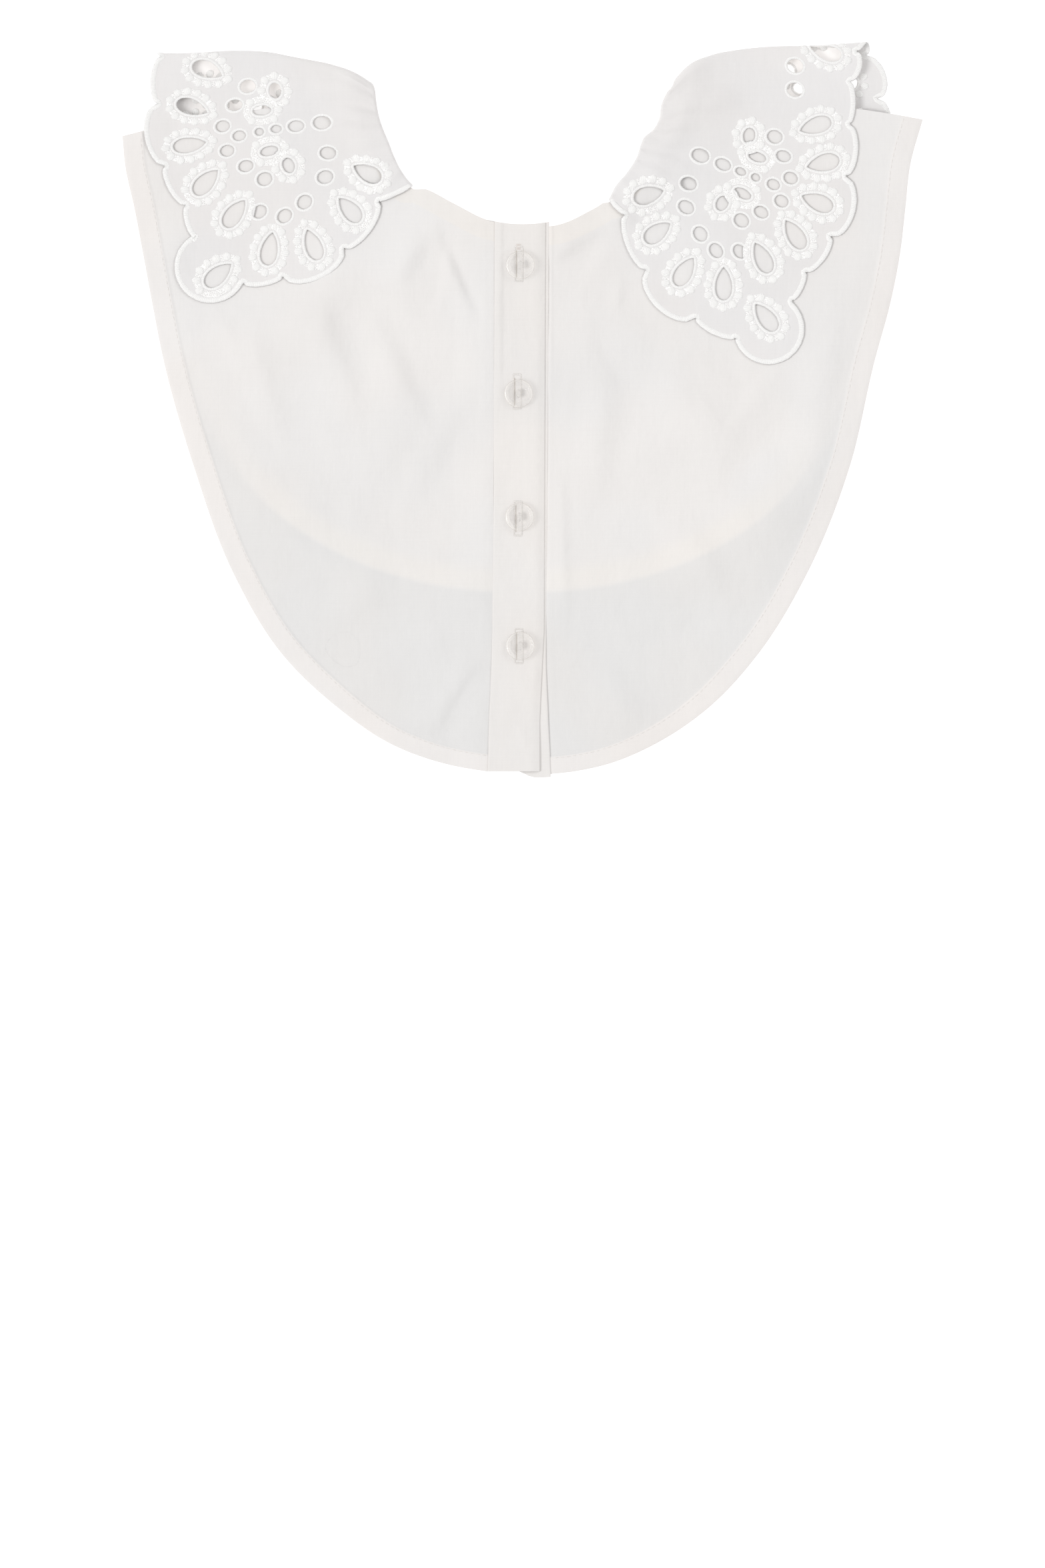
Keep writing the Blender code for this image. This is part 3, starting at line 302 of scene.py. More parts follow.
# Top of the front's solid without its soft folds.
def frontTop(plan):
    hem = np.minimum(distanceTo(plan, frontLines[-1]), distanceTo(plan, frontLines[1]))
    return frontUnder(plan) + bib["wall"] + bib["hemExtra"] * overHem(hem)


mapX, mapY = (np.arange(-reach, reach + 1) for reach in bib["mapReach"])
topMap = frontTop(np.stack(np.meshgrid(mapX, mapY), axis=-1))


# The same top read off a map of points 1 mm apart, blended straight between the nearest four
# and kept just inside the last ones.
def frontTopAt(plan):
    x, y = (np.clip(plan[..., axis] - places[0], 0, len(places) - 1.001)
            for axis, places in enumerate((mapX, mapY)))
    left, low = x.astype(int), y.astype(int)
    u, v = x - left, y - low
    near = topMap[low, left] * (1 - u) + topMap[low, left + 1] * u
    far = topMap[low + 1, left] * (1 - u) + topMap[low + 1, left + 1] * u
    return near * (1 - v) + far * v


# 1 where the front bib is in view, 0 where the collar lies on it.
def openFront(plan):
    radius, bearing = toPolar(plan)
    right, left = bib["coverEdge"]
    between = fade(bearing, left - bib["openBlend"], left)
    between = between * fade(-bearing, -right - bib["openBlend"], -right)
    return np.maximum(1 - fade(radius, *bib["openRadii"]), between)


# Sum of soft ridges and troughs: height times a bell across the line, steeper on its left,
# that rises and sinks along it as sin(pi t).
def creases(plan, rows):
    total = np.zeros(plan.shape[:-1])
    for x0, y0, x1, y1, halfWidth, height, lean in rows:
        start, run = np.array([x0, y0]), np.array([x1 - x0, y1 - y0])
        offset = plan - start
        t = np.clip((offset @ run) / (run @ run), 0, 1)
        side = offset[..., 1] * run[0] - offset[..., 0] * run[1]
        away = np.linalg.norm(offset - t[..., None] * run, axis=-1)
        spread = np.where(side > 0, halfWidth, halfWidth * lean)
        total += height * panel["creaseDepth"] * np.exp(-((away / spread) ** 2)) * np.sin(np.pi * t)
    return total


# Small uneven swell of lying cloth: a sum of products of two crossing sines.
def swell(plan, height):
    x, y = plan[..., 0], plan[..., 1]
    waves = 0
    for share, *pair in bib["swellWaves"]:
        first, second = (np.sin(x / across + y / up + shift) for across, up, shift in pair)
        waves = waves + share * first * second
    return height * waves


# Making meshes

# Angles past which an edge stays sharp
sharpPast = {"slab": math.radians(55), "laid": math.radians(60), "button": math.radians(40)}


# Faces of a grid of rows and columns of points, closed round either way if asked.
def gridFaces(rows, columns, aroundRows=False, aroundColumns=False, first=0):
    r = np.arange(rows if aroundRows else rows - 1)[:, None]
    c = np.arange(columns if aroundColumns else columns - 1)[None, :]
    r1, c1 = (r + 1) % rows, (c + 1) % columns
    corners = [r * columns + c, r * columns + c1, r1 * columns + c1, r1 * columns + c]
    return first + np.stack([corner.ravel() for corner in corners], axis=1)


# A mesh object from points in millimetres and groups of faces; the UV is one row a point
# or one row a corner.
def makePiece(name, points, faces, material, uv=None, attributes=None, turn=False):
    points = np.ascontiguousarray(points, dtype=np.float64) * mm
    mesh = bpy.data.meshes.new(name)
    groups = [np.asarray(group) for group in (faces if isinstance(faces, list) else [faces])]
    groups = [group[:, ::-1] if turn else group for group in groups]
    corners = np.concatenate([group.ravel() for group in groups]).astype(np.int32)
    sizes = np.concatenate([np.full(len(group), group.shape[1]) for group in groups])
    mesh.vertices.add(len(points))
    mesh.vertices.foreach_set("co", points.ravel())
    mesh.loops.add(len(corners))
    mesh.loops.foreach_set("vertex_index", corners)
    mesh.polygons.add(len(sizes))
    starts = np.concatenate([[0], np.cumsum(sizes)[:-1]])
    mesh.polygons.foreach_set("loop_start", starts.astype(np.int32))
    mesh.update(calc_edges=True)
    mesh.validate()
    if uv is not None:
        layer = mesh.uv_layers.new(name="UVMap")
        uv = np.asarray(uv, dtype=np.float64)
        layer.data.foreach_set("uv", (uv if len(uv) == len(corners) else uv[corners]).ravel())
    for key, values in (attributes or {}).items():
        mesh.attributes.new(key, "FLOAT", "POINT").data.foreach_set("value", np.ravel(values))
    mesh.shade_smooth()
    piece = bpy.data.objects.new(name, mesh)
    bpy.context.scene.collection.objects.link(piece)
    mesh.materials.append(material)
    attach(piece, "root")
    return piece


# A closed slab between an upper and a lower grid, with a wall round its border.
def makeSlab(name, top, bottom, material, attributes=None):
    rows, columns = top.shape[:2]
    count = rows * columns
    index = np.arange(count).reshape(rows, columns)
    border = np.concatenate([index[0, :-1], index[:-1, -1], index[-1, :0:-1], index[:0:-1, 0]])
    after = np.roll(border, -1)
    faces = gridFaces(rows, columns)
    run = np.cross(top[0, 1] - top[0, 0], top[1, 0] - top[0, 0])
    walls = np.stack([after, border, border + count, after + count], axis=1)
    quads = np.concatenate([faces, faces[:, ::-1] + count, walls])
    doubled = {key: np.concatenate([np.ravel(values)] * 2) for key, values in (attributes or {}).items()}
    points = np.concatenate([top.reshape(-1, 3), bottom.reshape(-1, 3)])
    piece = makePiece(name, points, quads, material, None, doubled, turn=run[2] < 0)
    piece.data.set_sharp_from_angle(angle=sharpPast["slab"])
    return piece


# Plane points raised to a height.
def raised(plan, height):
    return np.concatenate([plan, np.asarray(height)[..., None]], axis=-1)


# Shader making

# A shader socket that takes part in sums.
class Signal:
    def __init__(self, looks, socket):
        self.looks = looks
        self.socket = socket

    def math(self, operation, *others):
        values = dict(enumerate((self,) + others))
        return self.looks.add("ShaderNodeMath", {"operation": operation}, values)

    def __add__(self, other):
        return self.math("ADD", other)

    def __sub__(self, other):
        return self.math("SUBTRACT", other)

    def __rsub__(self, other):
        return (self * -1) + other

    def __mul__(self, other):
        return self.math("MULTIPLY", other)

    def __truediv__(self, other):
        return self.math("DIVIDE", other)

    __radd__ = __add__
    __rmul__ = __mul__

    def sine(self):
        return self.math("SINE")

    def size(self):
        return self.math("ABSOLUTE")

    def least(self, other):
        return self.math("MINIMUM", other)

    def most(self, other):
        return self.math("MAXIMUM", other)

    # 0 below low, 1 above high and 3t^2 - 2t^3 between.
    def rise(self, low, high):
        t = ((self - low) / (high - low)).least(1.0).most(0.0)
        return t * t * (3.0 - 2.0 * t)


# A material's node tree, made from expressions.
class Looks:
    def __init__(self, name):
        self.material = bpy.data.materials.new(name)
        self.material.use_nodes = True
        self.tree = self.material.node_tree
        self.shader = self.tree.nodes["Principled BSDF"]

    # A node with its settings and inputs, as a signal of one output.
    def add(self, kind, settings=None, inputs=None, output=0):
        node = self.tree.nodes.new(kind)
        for key, value in (settings or {}).items():
            setattr(node, key, value)
        for key, value in (inputs or {}).items():
            self.join(node.inputs[key], value)
        return Signal(self, node.outputs[output])

    def join(self, socket, value):
        if isinstance(value, Signal):
            self.tree.links.new(value.socket, socket)
        else:
            socket.default_value = value

    def shade(self, values):
        for key, value in values.items():
            self.join(self.shader.inputs[key], value)

    def place(self, output="Object"):
        return self.add("ShaderNodeTexCoord", output=output)

    def parts(self, vector):
        node = self.add("ShaderNodeSeparateXYZ", None, {0: vector})
        return [Signal(self, socket) for socket in node.socket.node.outputs]

    def value(self, name):
        return self.add("ShaderNodeAttribute", {"attribute_name": name}, output="Fac")

    def noise(self, vector, scale, detail=2.0, rough=0.5):
        return self.add("ShaderNodeTexNoise", None,
                        {"Vector": vector, "Scale": scale, "Detail": detail, "Roughness": rough}, "Fac")

    def mix(self, factor, first, second):
        return self.add("ShaderNodeMix", {"data_type": "RGBA"}, {0: factor, 6: first, 7: second}, 2)

    def bump(self, height, strength, distance, below=None):
        inputs = {"Height": height, "Strength": strength, "Distance": distance}
        if below is not None:
            inputs["Normal"] = below
        return self.add("ShaderNodeBump", None, inputs)

    # Vector stretched along the three axes.
    def stretch(self, vector, sizes):
        return self.add("ShaderNodeVectorMath", {"operation": "MULTIPLY"}, {0: vector, 1: sizes})


voileLook = {
    "single": (0.733, 0.722, 0.713, 1),
    "double": (0.768, 0.750, 0.738, 1),
    "hem": (0.793, 0.765, 0.747, 1),
    "showingHem": (0.788, 0.762, 0.735, 1),
    "facing": (0.792, 0.757, 0.722, 1),
    "warm": (1.005, 0.999, 0.994, 1),
    "cool": (0.994, 0.997, 1.0, 1),
    # Colour of the painted glow inside a fold: an emission that lifts the shade there
    "paintedFoldGlow": (0.235, 0.227, 0.218, 1),
    "yarn": 0.00030,
    "roughness": 0.88,
    "sheen": 0.15,
    # Distances in from an edge between which the hem and the facing end
    "hemLine": (7.7, 8.3),
    "facingLine": (7.2, 7.9),
    "facingShare": 0.7,
    # Metres up between which the back's edge turns from crisp to blurred, and both its widths
    "blurFrom": (-0.055, 0.0),
    "crisp": (-1.8, 1.4),
    "blurred": (-6.5, 6.5),
    # Where the back's hem ends as it shows through, and its strength below and what it loses above
    "innerHem": (4.8, 12.0),
    "showing": (0.9, 0.75),
    # Noise scale and strength of blotches and clouds; across, along and strength of thicker yarns
    "blotch": (30.0, 0.06),
    "cloud": ((17.0, 11.0, 11.0), 0.07),
    "slub": (2200.0, 60.0, 0.025),
    "tint": (19.0, 0.38, 0.62),
    # Shares of the weave and of the thicker yarns in the bumps
    "bumpShares": (0.7, 0.5),
    # Bumps: strength, and distance in metres; wrinkles: noise scales, detail and roughness
    "weaveBump": (0.35, 0.00006),
    "wrinkle": ((90.0, 60.0, 60.0), 3.0, 0.55),
    "wrinkleBump": (0.6, 0.0013),
}


# Plain weave: crossed sines of the yarn pitch, thicker here and there, over soft blotches;
# layers, hems and the facing lighten the cloth where they lie, and in a folded cloth the inside
# of the fold glows a little: painted light, an emission that lifts the shade there in place of light passing
# through thin cloth.
def voileMaterial(name, look):
    looks = Looks(name)
    place = looks.place()
    x, y, _ = looks.parts(place)
    behind = looks.value("behind")
    hem = 1.0 - looks.value("hemIn").rise(*look["hemLine"])
    facing = (1.0 - looks.value("neckOut").rise(*look["facingLine"])) * behind.rise(0.0, 1.0)
    upper = y.rise(*look["blurFrom"])
    edge = behind.rise(*look["crisp"]) * (1.0 - upper) + behind.rise(*look["blurred"]) * upper
    below, lost = look["showing"]
    showing = edge * (1.0 - behind.rise(*look["innerHem"])) * (below - upper * lost)
    colour = looks.mix(edge, look["single"], look["double"])
    colour = looks.mix(showing, colour, look["showingHem"])
    colour = looks.mix(facing * look["facingShare"], colour, look["facing"])
    colour = looks.mix(hem, colour, look["hem"])
    (blotchScale, blotched), (cloudScale, clouded) = look["blotch"], look["cloud"]
    blotch = looks.noise(place, blotchScale, 2.0)
    cloud = looks.noise(looks.stretch(place, cloudScale), 1.0, 1.0)
    across, along, thicker = look["slub"]
    slub = looks.noise(looks.stretch(place, (across, along, along)), 1.0, 1.0)
    slub = slub + looks.noise(looks.stretch(place, (along, across, along)), 1.0, 1.0)
    shade = (blotch - 0.5) * blotched + (cloud - 0.5) * clouded + (slub - 1.0) * thicker + 1.0
    scale, low, high = look["tint"]
    tint = looks.mix(looks.noise(place, scale, 1.0).rise(low, high), look["cool"], look["warm"])
    for factor in (tint, looks.add("ShaderNodeCombineXYZ", None, {0: shade, 1: shade, 2: shade})):
        colour = looks.add("ShaderNodeVectorMath", {"operation": "MULTIPLY"}, {0: colour, 1: factor})
    turn = 2 * math.pi / look["yarn"]
    weave = (x * turn).sine() * (y * turn).sine() * 0.5 + 0.5
    woven, slubbed = look["bumpShares"]
    normal = looks.bump(weave * woven + slub * slubbed, *look["weaveBump"])
    sizes, detail, rough = look["wrinkle"]
    wrinkle = looks.noise(looks.stretch(place, sizes), 1.0, detail, rough)
    normal = looks.bump(wrinkle, *look["wrinkleBump"], normal)
    looks.shade({"Base Color": colour, "Roughness": look["roughness"], "Sheen Weight": look["sheen"],
                 "Normal": normal})
    if look.get("folded"):
        # Painted light: the inside of the fold glows, lifting its shade
        glow = looks.mix(looks.value("paintedFoldGlow"), (0, 0, 0, 1), look["paintedFoldGlow"])
        looks.shade({"Emission Color": glow, "Emission Strength": 1.0})
    return looks.material


satinLook = {
    "colour": (0.975, 0.967, 0.955, 1),
    # Thread colour, and the darker colour painted in the gaps between threads as shade
    "between": (0.76, 0.75, 0.735, 1),
    # Millimetres from thread to thread, and noise scale and strength of their unevenness
    "stitch": 0.38,
    "jitter": (1300.0, 3.2),
    "threadEnds": (0.15, 0.75),
    "twist": 0.12,
    "bump": (0.8, 0.00009),
    "roughness": 0.42,
    "sheen": 0.3,
}


# Satin stitch: parallel rounded threads across the piece, as |sin| of the length along it
# over the stitch pitch, with a second finer twist; the colour darkens in the gaps between
# threads as painted shade.
def satinMaterial(name, look):
    looks = Looks(name)
    u, v, _ = looks.parts(looks.place("UV"))
    scale, uneven = look["jitter"]
    jitter = looks.noise(looks.place(), scale, 2.0)
    phase = u * (math.pi / look["stitch"]) + (jitter - 0.5) * uneven
    thread = phase.sine().size()
    twist = (u * (6.0 * math.pi / look["stitch"]) + v * 2.0).sine()
    # Painted shade: darker colour in the gaps between threads
    colour = looks.mix(thread.rise(*look["threadEnds"]), look["between"], look["colour"])
    normal = looks.bump(thread + twist * look["twist"], *look["bump"])
    looks.shade({"Base Color": colour, "Roughness": look["roughness"], "Sheen Weight": look["sheen"],
                 "Normal": normal})
    return looks.material


netLook = dict(satinLook, cells=1500.0, ground=(0.74, 0.725, 0.715, 1), wander=(500.0, 0.08),
               threadEnds=(0.10, 0.30), bump=(0.8, 0.00010))


# Fine net of stitches: bright threads along the borders of small uneven cells.
def netMaterial(name, look):
    looks = Looks(name)
    place = looks.place()
    scale, uneven = look["wander"]
    wander = looks.noise(place, scale, 2.0)
    cells = looks.add("ShaderNodeTexVoronoi", {"feature": "DISTANCE_TO_EDGE"},
                      {"Vector": place, "Scale": look["cells"], "Randomness": 1.0}, "Distance")
    thread = 1.0 - (cells + wander * uneven).rise(*look["threadEnds"])
    colour = looks.mix(thread, look["ground"], look["colour"])
    looks.shade({"Base Color": colour, "Roughness": look["roughness"], "Sheen Weight": look["sheen"],
                 "Normal": looks.bump(thread, *look["bump"])})
    return looks.material


voile = voileMaterial("white_voile", voileLook)
collarLook = dict(voileLook, double=(0.752, 0.735, 0.729, 1), folded=True)
collarVoile = voileMaterial("collar_voile", collarLook)
bandVoile = voileMaterial("placket_voile", dict(voileLook, double=(0.776, 0.751, 0.731, 1)))
satin = satinMaterial("satin_stitch", satinLook)
# The sewing and tan threads also darken between threads: painted shade
sewingLook = dict(satinLook, colour=(0.82, 0.79, 0.762, 1), between=(0.73, 0.70, 0.67, 1))
sewing = satinMaterial("sewing_cotton", sewingLook)
tanLook = dict(satinLook, colour=(0.80, 0.745, 0.705, 1), between=(0.71, 0.65, 0.61, 1))
tanSatin = satinMaterial("tan_stitch", tanLook)
net = netMaterial("stitch_net", netLook)
print("materials made")


# Front and back panels

panel = {
    "strip": [0, 0.35, 0.9, 1.8, 3.0, 4.2, 5.4, 6.6, 7.3, 7.7, 8.1, 8.5, 9.2, 10.2, 11.2, 12.4],
    "rows": 92,
    "columns": 190,
    # Steps along the placket edge and the neck edges, and where the placket edge starts and ends
    "edgeSteps": 300,
    "backSteps": 400,
    "edgeFrom": -150,
    "foot": -146.5,
    "thin": 0.35,
    "hemThick": 0.7,
    "bottomHem": 6.8,
    "cornerBlend": 9.0,
    "floorGap": 0.02,
    # Upper face of a front over what lies below it, its rise over the back, and the back's own face
    "frontRise": 0.45,
    "overBack": 0.5,
    "backRise": 0.75,
    # Rise of a hem, where it ends, and how far and over how much its edge falls
    "hemRise": 0.28,
    "hemEnd": (7.9, 8.5),
    "edgeFall": (0.2, 0.8),
    # Fall beside the placket and its width, and the seam's ridge there: height, place and width
    "seamFall": {-1: (0.18, 0.6), 1: (0.2, 0.6)},
    "seamRidge": (0.22, 1.1, 0.5),
    "swell": 0.12,
    "creaseDepth": 2.1,
    # Deepest that a trough may go, so that a front stays clear of the back and the floor
    "troughLimit": 0.5,
    # Share of the back's creases kept, and the most that they rise
    "backBend": (0.25, 0.12),
    # Line from and to, half width, height, and how much wider its far side is
    "creases": [
        (-118, 62, -96, -22, 6.0, 0.7, 1.6), (-84, 44, -66, -6, 5.5, 0.9, 1.6),
        (-37, 76, -18, 33, 2.2, 0.9, 2.4), (-34, 74, -15, 32, 2.0, -0.5, 1.5),
        (-62, 40, -36, -18, 5.0, 0.8, 1.4), (34, 26, 28, -40, 6.0, 0.7, 1.5),
        (126, 40, 112, -30, 6.5, 0.7, 1.5), (60, -40, 84, -84, 7.0, 0.6, 1.5),
        (-52, -66, -84, -92, 7.0, 0.6, 1.5), (33, 74, 11, 58, 2.4, 0.7, 2.0),
        (39, 54, 37, 30, 2.6, 0.6, 1.6), (-13, -101, -33, -133, 3.0, -0.9, 1.8),
        (-16, -99, -37, -130, 3.2, 0.7, 1.8), (-20, 12, -46, -36, 5.0, 0.5, 1.5),
        (-132, 22, -92, -46, 11.0, -1.0, 1.6), (-70, 60, -92, 12, 9.0, 0.9, 1.8),
        (22, 60, 58, 4, 10.0, -0.9, 1.6), (96, 30, 70, -40, 10.0, 0.9, 1.7),
        (-44, -14, -62, -52, 4.0, -0.5, 1.8), (15, -20, 17, -92, 2.6, 0.4, 2.0),
        (28, -98, 46, -128, 6.0, 0.5, 1.6), (-88, -60, -62, -112, 8.0, -0.6, 1.6),
        (33, 78, 14, 46, 4.5, -0.8, 1.6), (31, 68, 27, 4, 6.0, 0.6, 1.6),
        (-37, 76, -53, 48, 4.5, 0.7, 1.6), (-29, 72, -41, 36, 3.6, -0.8, 1.6),
        (52, 20, 84, -24, 8.0, 0.6, 1.6), (-58, 26, -46, -30, 6.5, 0.5, 1.6),
    ],
    "backCreases": [
        (-12, 60, -78, -20, 4.0, 0.8, 1.8), (22, 58, 26, -10, 3.0, 0.6, 1.5),
        (60, 66, 66, 40, 3.5, 0.5, 1.5), (-100, 40, -84, 4, 5.0, 0.5, 1.6),
        (92, 20, 62, -30, 5.0, 0.5, 1.6),
    ],
}


# Strip rows at set distances inside the hem, then a patch blended between its four sides:
# (1-v) inner + v outer + (1-u) start + u finish, less the same blend of the four corners.
def panelGrid(neck, hem, start, finish, side):
    hem = evenly(hem, panel["columns"])
    inward = heading(hem)
    inward = -side * np.column_stack([-inward[:, 1], inward[:, 0]])
    along = np.concatenate([[0], np.cumsum(np.hypot(*np.diff(hem, axis=0).T))])
    for path, away in ((start, along), (finish, along[-1] - along)):
        edge = (path[-8] - path[-1]) / np.linalg.norm(path[-8] - path[-1])
        weight = np.exp(-((away / panel["cornerBlend"]) ** 2))[:, None]
        inward = inward * (1 - weight) + edge * weight
    inward /= np.linalg.norm(inward, axis=1)[:, None]
    strip = hem + np.array(panel["strip"])[::-1, None, None] * inward
    outer = strip[0]
    inner = evenly(neck, panel["columns"])
    sides = []
    for path, corner in ((start, outer[0]), (finish, outer[-1])):
        path = path[np.linalg.norm(path - path[-1], axis=1) > panel["strip"][-1]]
        sides.append(evenly(np.vstack([path, corner]), panel["rows"]))
    u = np.linspace(0, 1, panel["columns"])[None, :, None]
    v = np.linspace(0, 1, panel["rows"])[:, None, None]
    flat = (1 - v) * inner + v * outer + (1 - u) * sides[0][:, None] + u * sides[1][:, None]
    flat -= (1 - v) * ((1 - u) * inner[0] + u * inner[-1])
    flat -= v * ((1 - u) * outer[0] + u * outer[-1])
    return np.concatenate([flat[:-1], strip])


# Distance inside a hem, stretched so that 8 is its stitched line also where it is narrower.
def hemDistance(plan, line):
    narrow = softFade(plan[..., 1], *bib["narrowHem"])
    width = bib["hemWidth"] + (panel["bottomHem"] - bib["hemWidth"]) * narrow
    return distanceTo(plan, line) * bib["hemWidth"] / width


# Rise of the turned hem over the cloth, less the fall of its edge.
def hemLift(hemIn):
    fall, over = panel["edgeFall"]
    return panel["hemRise"] * softFade(hemIn, *panel["hemEnd"]) - fall * softFade(hemIn, 0, over)


# Lower face of a panel: its cloth or its thicker hem below the upper face, clear of the floor.
def lowerFace(height, hemIn):
    thick = panel["thin"] + (panel["hemThick"] - panel["thin"]) * softFade(hemIn, *panel["hemEnd"])
    return np.maximum(height - thick, panel["floorGap"])


# Upper face of a front half: lying low in its wall on the floor and high over the back,
# with creases whose troughs sink as limit tanh(depth / limit).
def frontFace(plan, side, hemIn=None, signed=None):
    signed = fromBackHem(plan) if signed is None else signed
    hemIn = hemDistance(plan, frontLines[side]) if hemIn is None else hemIn
    over = panel["overBack"] * fade(-signed, *bib["backDrop"])
    height = frontUnder(plan, signed) + panel["frontRise"] + over + hemLift(hemIn)
    bend = creases(plan, panel["creases"]) + swell(plan, panel["swell"])
    limit = panel["troughLimit"]
    height += np.where(bend < 0, limit * np.tanh(bend / limit), bend) * openFront(plan)
    if side < 0:
        away = stripEdge("bandRight", plan[..., 1]) - plan[..., 0]
        lift = (bib["wall"] + bib["gap"]) * fade(away, *bib["bandRise"])
    else:
        away = plan[..., 0] - stripEdge("standLeft", plan[..., 1])
        ridge, place, wide = panel["seamRidge"]
        lift = ridge * np.exp(-(((away - place) / wide) ** 2))
    fall, width = panel["seamFall"][side]
    return height + lift - fall * softFade(away, 0, width)


# Upper face of the back bib.
def backFace(plan, hemIn=None):
    hemIn = distanceTo(plan, backLine) if hemIn is None else hemIn
    share, most = panel["backBend"]
    bend = np.clip(creases(plan, panel["backCreases"]) * share, 0, most)
    return backUnder(plan) + panel["backRise"] + hemLift(hemIn) + bend


# Cloth between two faces over a plan, in the place of its node. The colouring needs, at every
# point, how far it is over the back, in from its hem and out from the neck edge.
def makeCloth(title, node, slot, plan, high, low, material, over=bib["far"], hemIn=bib["far"],
              neckOut=bib["far"]):
    attributes = {"behind": over, "hemIn": hemIn, "neckOut": neckOut}
    attributes = {key: np.broadcast_to(value, high.shape) for key, value in attributes.items()}
    piece = makeSlab(title, raised(plan, high), raised(plan, low), material, attributes)
    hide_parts(node)
    return piece


# A front half, its grid laid between neck edge, hem, shoulder seam and placket.
def makeFront(side):
    y = np.linspace(panel["edgeFrom"], bib["placketTop"], panel["edgeSteps"])
    edge = stripEdge("standLeft" if side > 0 else "bandRight", y)
    hem = frontHem(side, float(np.interp(panel["foot"], y, edge)))
    top = bearingAt(float(edge[-1]))
    neckBearing = np.linspace(side * bib["shoulderBearing"], top, panel["edgeSteps"])
    neck = toPlan(frontEdge(neckBearing), neckBearing)
    keep = (y > hem[-1, 1]) & (y < neck[-1, 1])
    inner = np.vstack([[neck[-1]], np.column_stack([edge, y])[keep][::-1], [hem[-1]]])
    plan = panelGrid(neck, hem, shoulderPath(side, "Front"), inner, side)
    signed = fromBackHem(plan)
    hemIn = hemDistance(plan, frontLines[side])
    height = frontFace(plan, side, hemIn, signed)
    radius, bearing = toPolar(plan)
    names = ("frontRight", "front_right") if side < 0 else ("frontLeft", "front_left")
    return makeCloth(*names, "cotton_voile", plan, height, lowerFace(height, hemIn), voile, signed, hemIn,
                     radius - frontEdge(bearing))


# The back bib, its grid laid between neck edge, hem and both shoulder seams.
def makeBack():
    turn = bib["shoulderBearing"]
    neckBearing = np.linspace(-turn, turn, panel["backSteps"])
    neck = toPlan(neckRadius(neckBearing, "Back") + bib["clearance"], neckBearing)
    plan = panelGrid(neck, backHem(), shoulderPath(-1, "Back"), shoulderPath(1, "Back"), -1)
    hemIn = distanceTo(plan, backLine)
    height = backFace(plan, hemIn)
    return makeCloth("backPanel", "back", "cotton_voile", plan, height, lowerFace(height, hemIn), voile,
                     hemIn + bib["far"], hemIn)


fronts = {side: makeFront(side) for side in (-1, 1)}
backPanel = makeBack()
print("panels made")


# Facings, buttonhole band and button stand

strip = {
    "thick": 0.75,
    "rows": 260,
    "across": np.array([0, 0.012, 0.035, 0.08, 0.14, 0.17, 0.2, 0.26, 0.34, 0.42, 0.5, 0.58, 0.66,
                        0.74, 0.82, 0.9, 0.95, 0.975, 0.99, 1.0]),
    # How far the borders are turned down, and over how much
    "round": (0.18, 0.6),
    # How far the band's face lies in its wall, and the stand's face over what is below it
    "bandSink": 0.1,
    "standRise": 1.0,
    # The seam's ridge on the band: height, place of its inner side, and where it ends below
    "ridge": 0.34,
    "ridgeSide": (2.9, 3.6),
    "ridgeFoot": 17.0,
    "ridgeFade": 12.0,
    # Slow fall of the band to its left border, and its width
    "edgeFall": (0.7, 3.0),
    "swell": 0.03,
    "creases": [(-0.5, -126, 1.9, -136, 0.9, 0.22, 1.6), (-10, 62, -3, 63.5, 0.7, 0.2, 1.5)],
}


# A strip between two placket edges: rows down, shares of the width across.
def stripPlan(right, left, foot):
    share = strip["across"]
    t = np.linspace(0, 1, strip["rows"])[:, None]
    x = lambda y: stripEdge(right, y) * (1 - share) + stripEdge(left, y) * share
    reach = float(neckRadius(0.0, "Front"))
    top = bib["centreY"] - np.sqrt(reach**2 - x(bib["placketTop"]) ** 2)
    y = top + (foot(share) - top) * t
    return np.stack([x(y), y], axis=-1)


# How far a strip's border is turned down: a quarter-round fall.
def roundedEdge(plan):
    fall, over = strip["round"]
    width = np.linalg.norm(plan[:, -1] - plan[:, 0], axis=1)[:, None]
    across = np.minimum(strip["across"], 1 - strip["across"]) * width
    return fall * (1 - np.sqrt(1 - fade(across, 0, over) ** 2))


# A strip of the placket: a slab with its borders turned down.
def makeStrip(name, node, plan, height):
    height = height - roundedEdge(plan)
    return makeCloth(name, node, "cotton_voile", plan, height, height - strip["thick"], bandVoile)


# Upper face of the buttonhole band: over the front, with the seam's ridge on its right.
def bandFace(plan):
    height = frontTop(plan) + bib["gap"] + bib["wall"] - strip["bandSink"]
    inward = plan[..., 0] - stripEdge("bandRight", plan[..., 1])
    upper = fade(-plan[..., 1], -strip["ridgeFoot"], strip["ridgeFade"] - strip["ridgeFoot"])
    ridge = softFade(inward, *strip["ridgeSide"])
    outer = stripEdge("bandLeft", plan[..., 1]) - plan[..., 0]
    fall, over = strip["edgeFall"]
    height = height + strip["ridge"] * ridge * upper - fall * softFade(outer, 0, over)
    return height + creases(plan, strip["creases"]) + swell(plan, strip["swell"])


facing = {
    "out": [0.3, 0.5, 1.0, 2.5, 4.0, 5.5, 6.8, 7.3, 7.5],
    "steps": 110,
    "clearOfStrip": 1.0,
    "sink": 0.3,
}


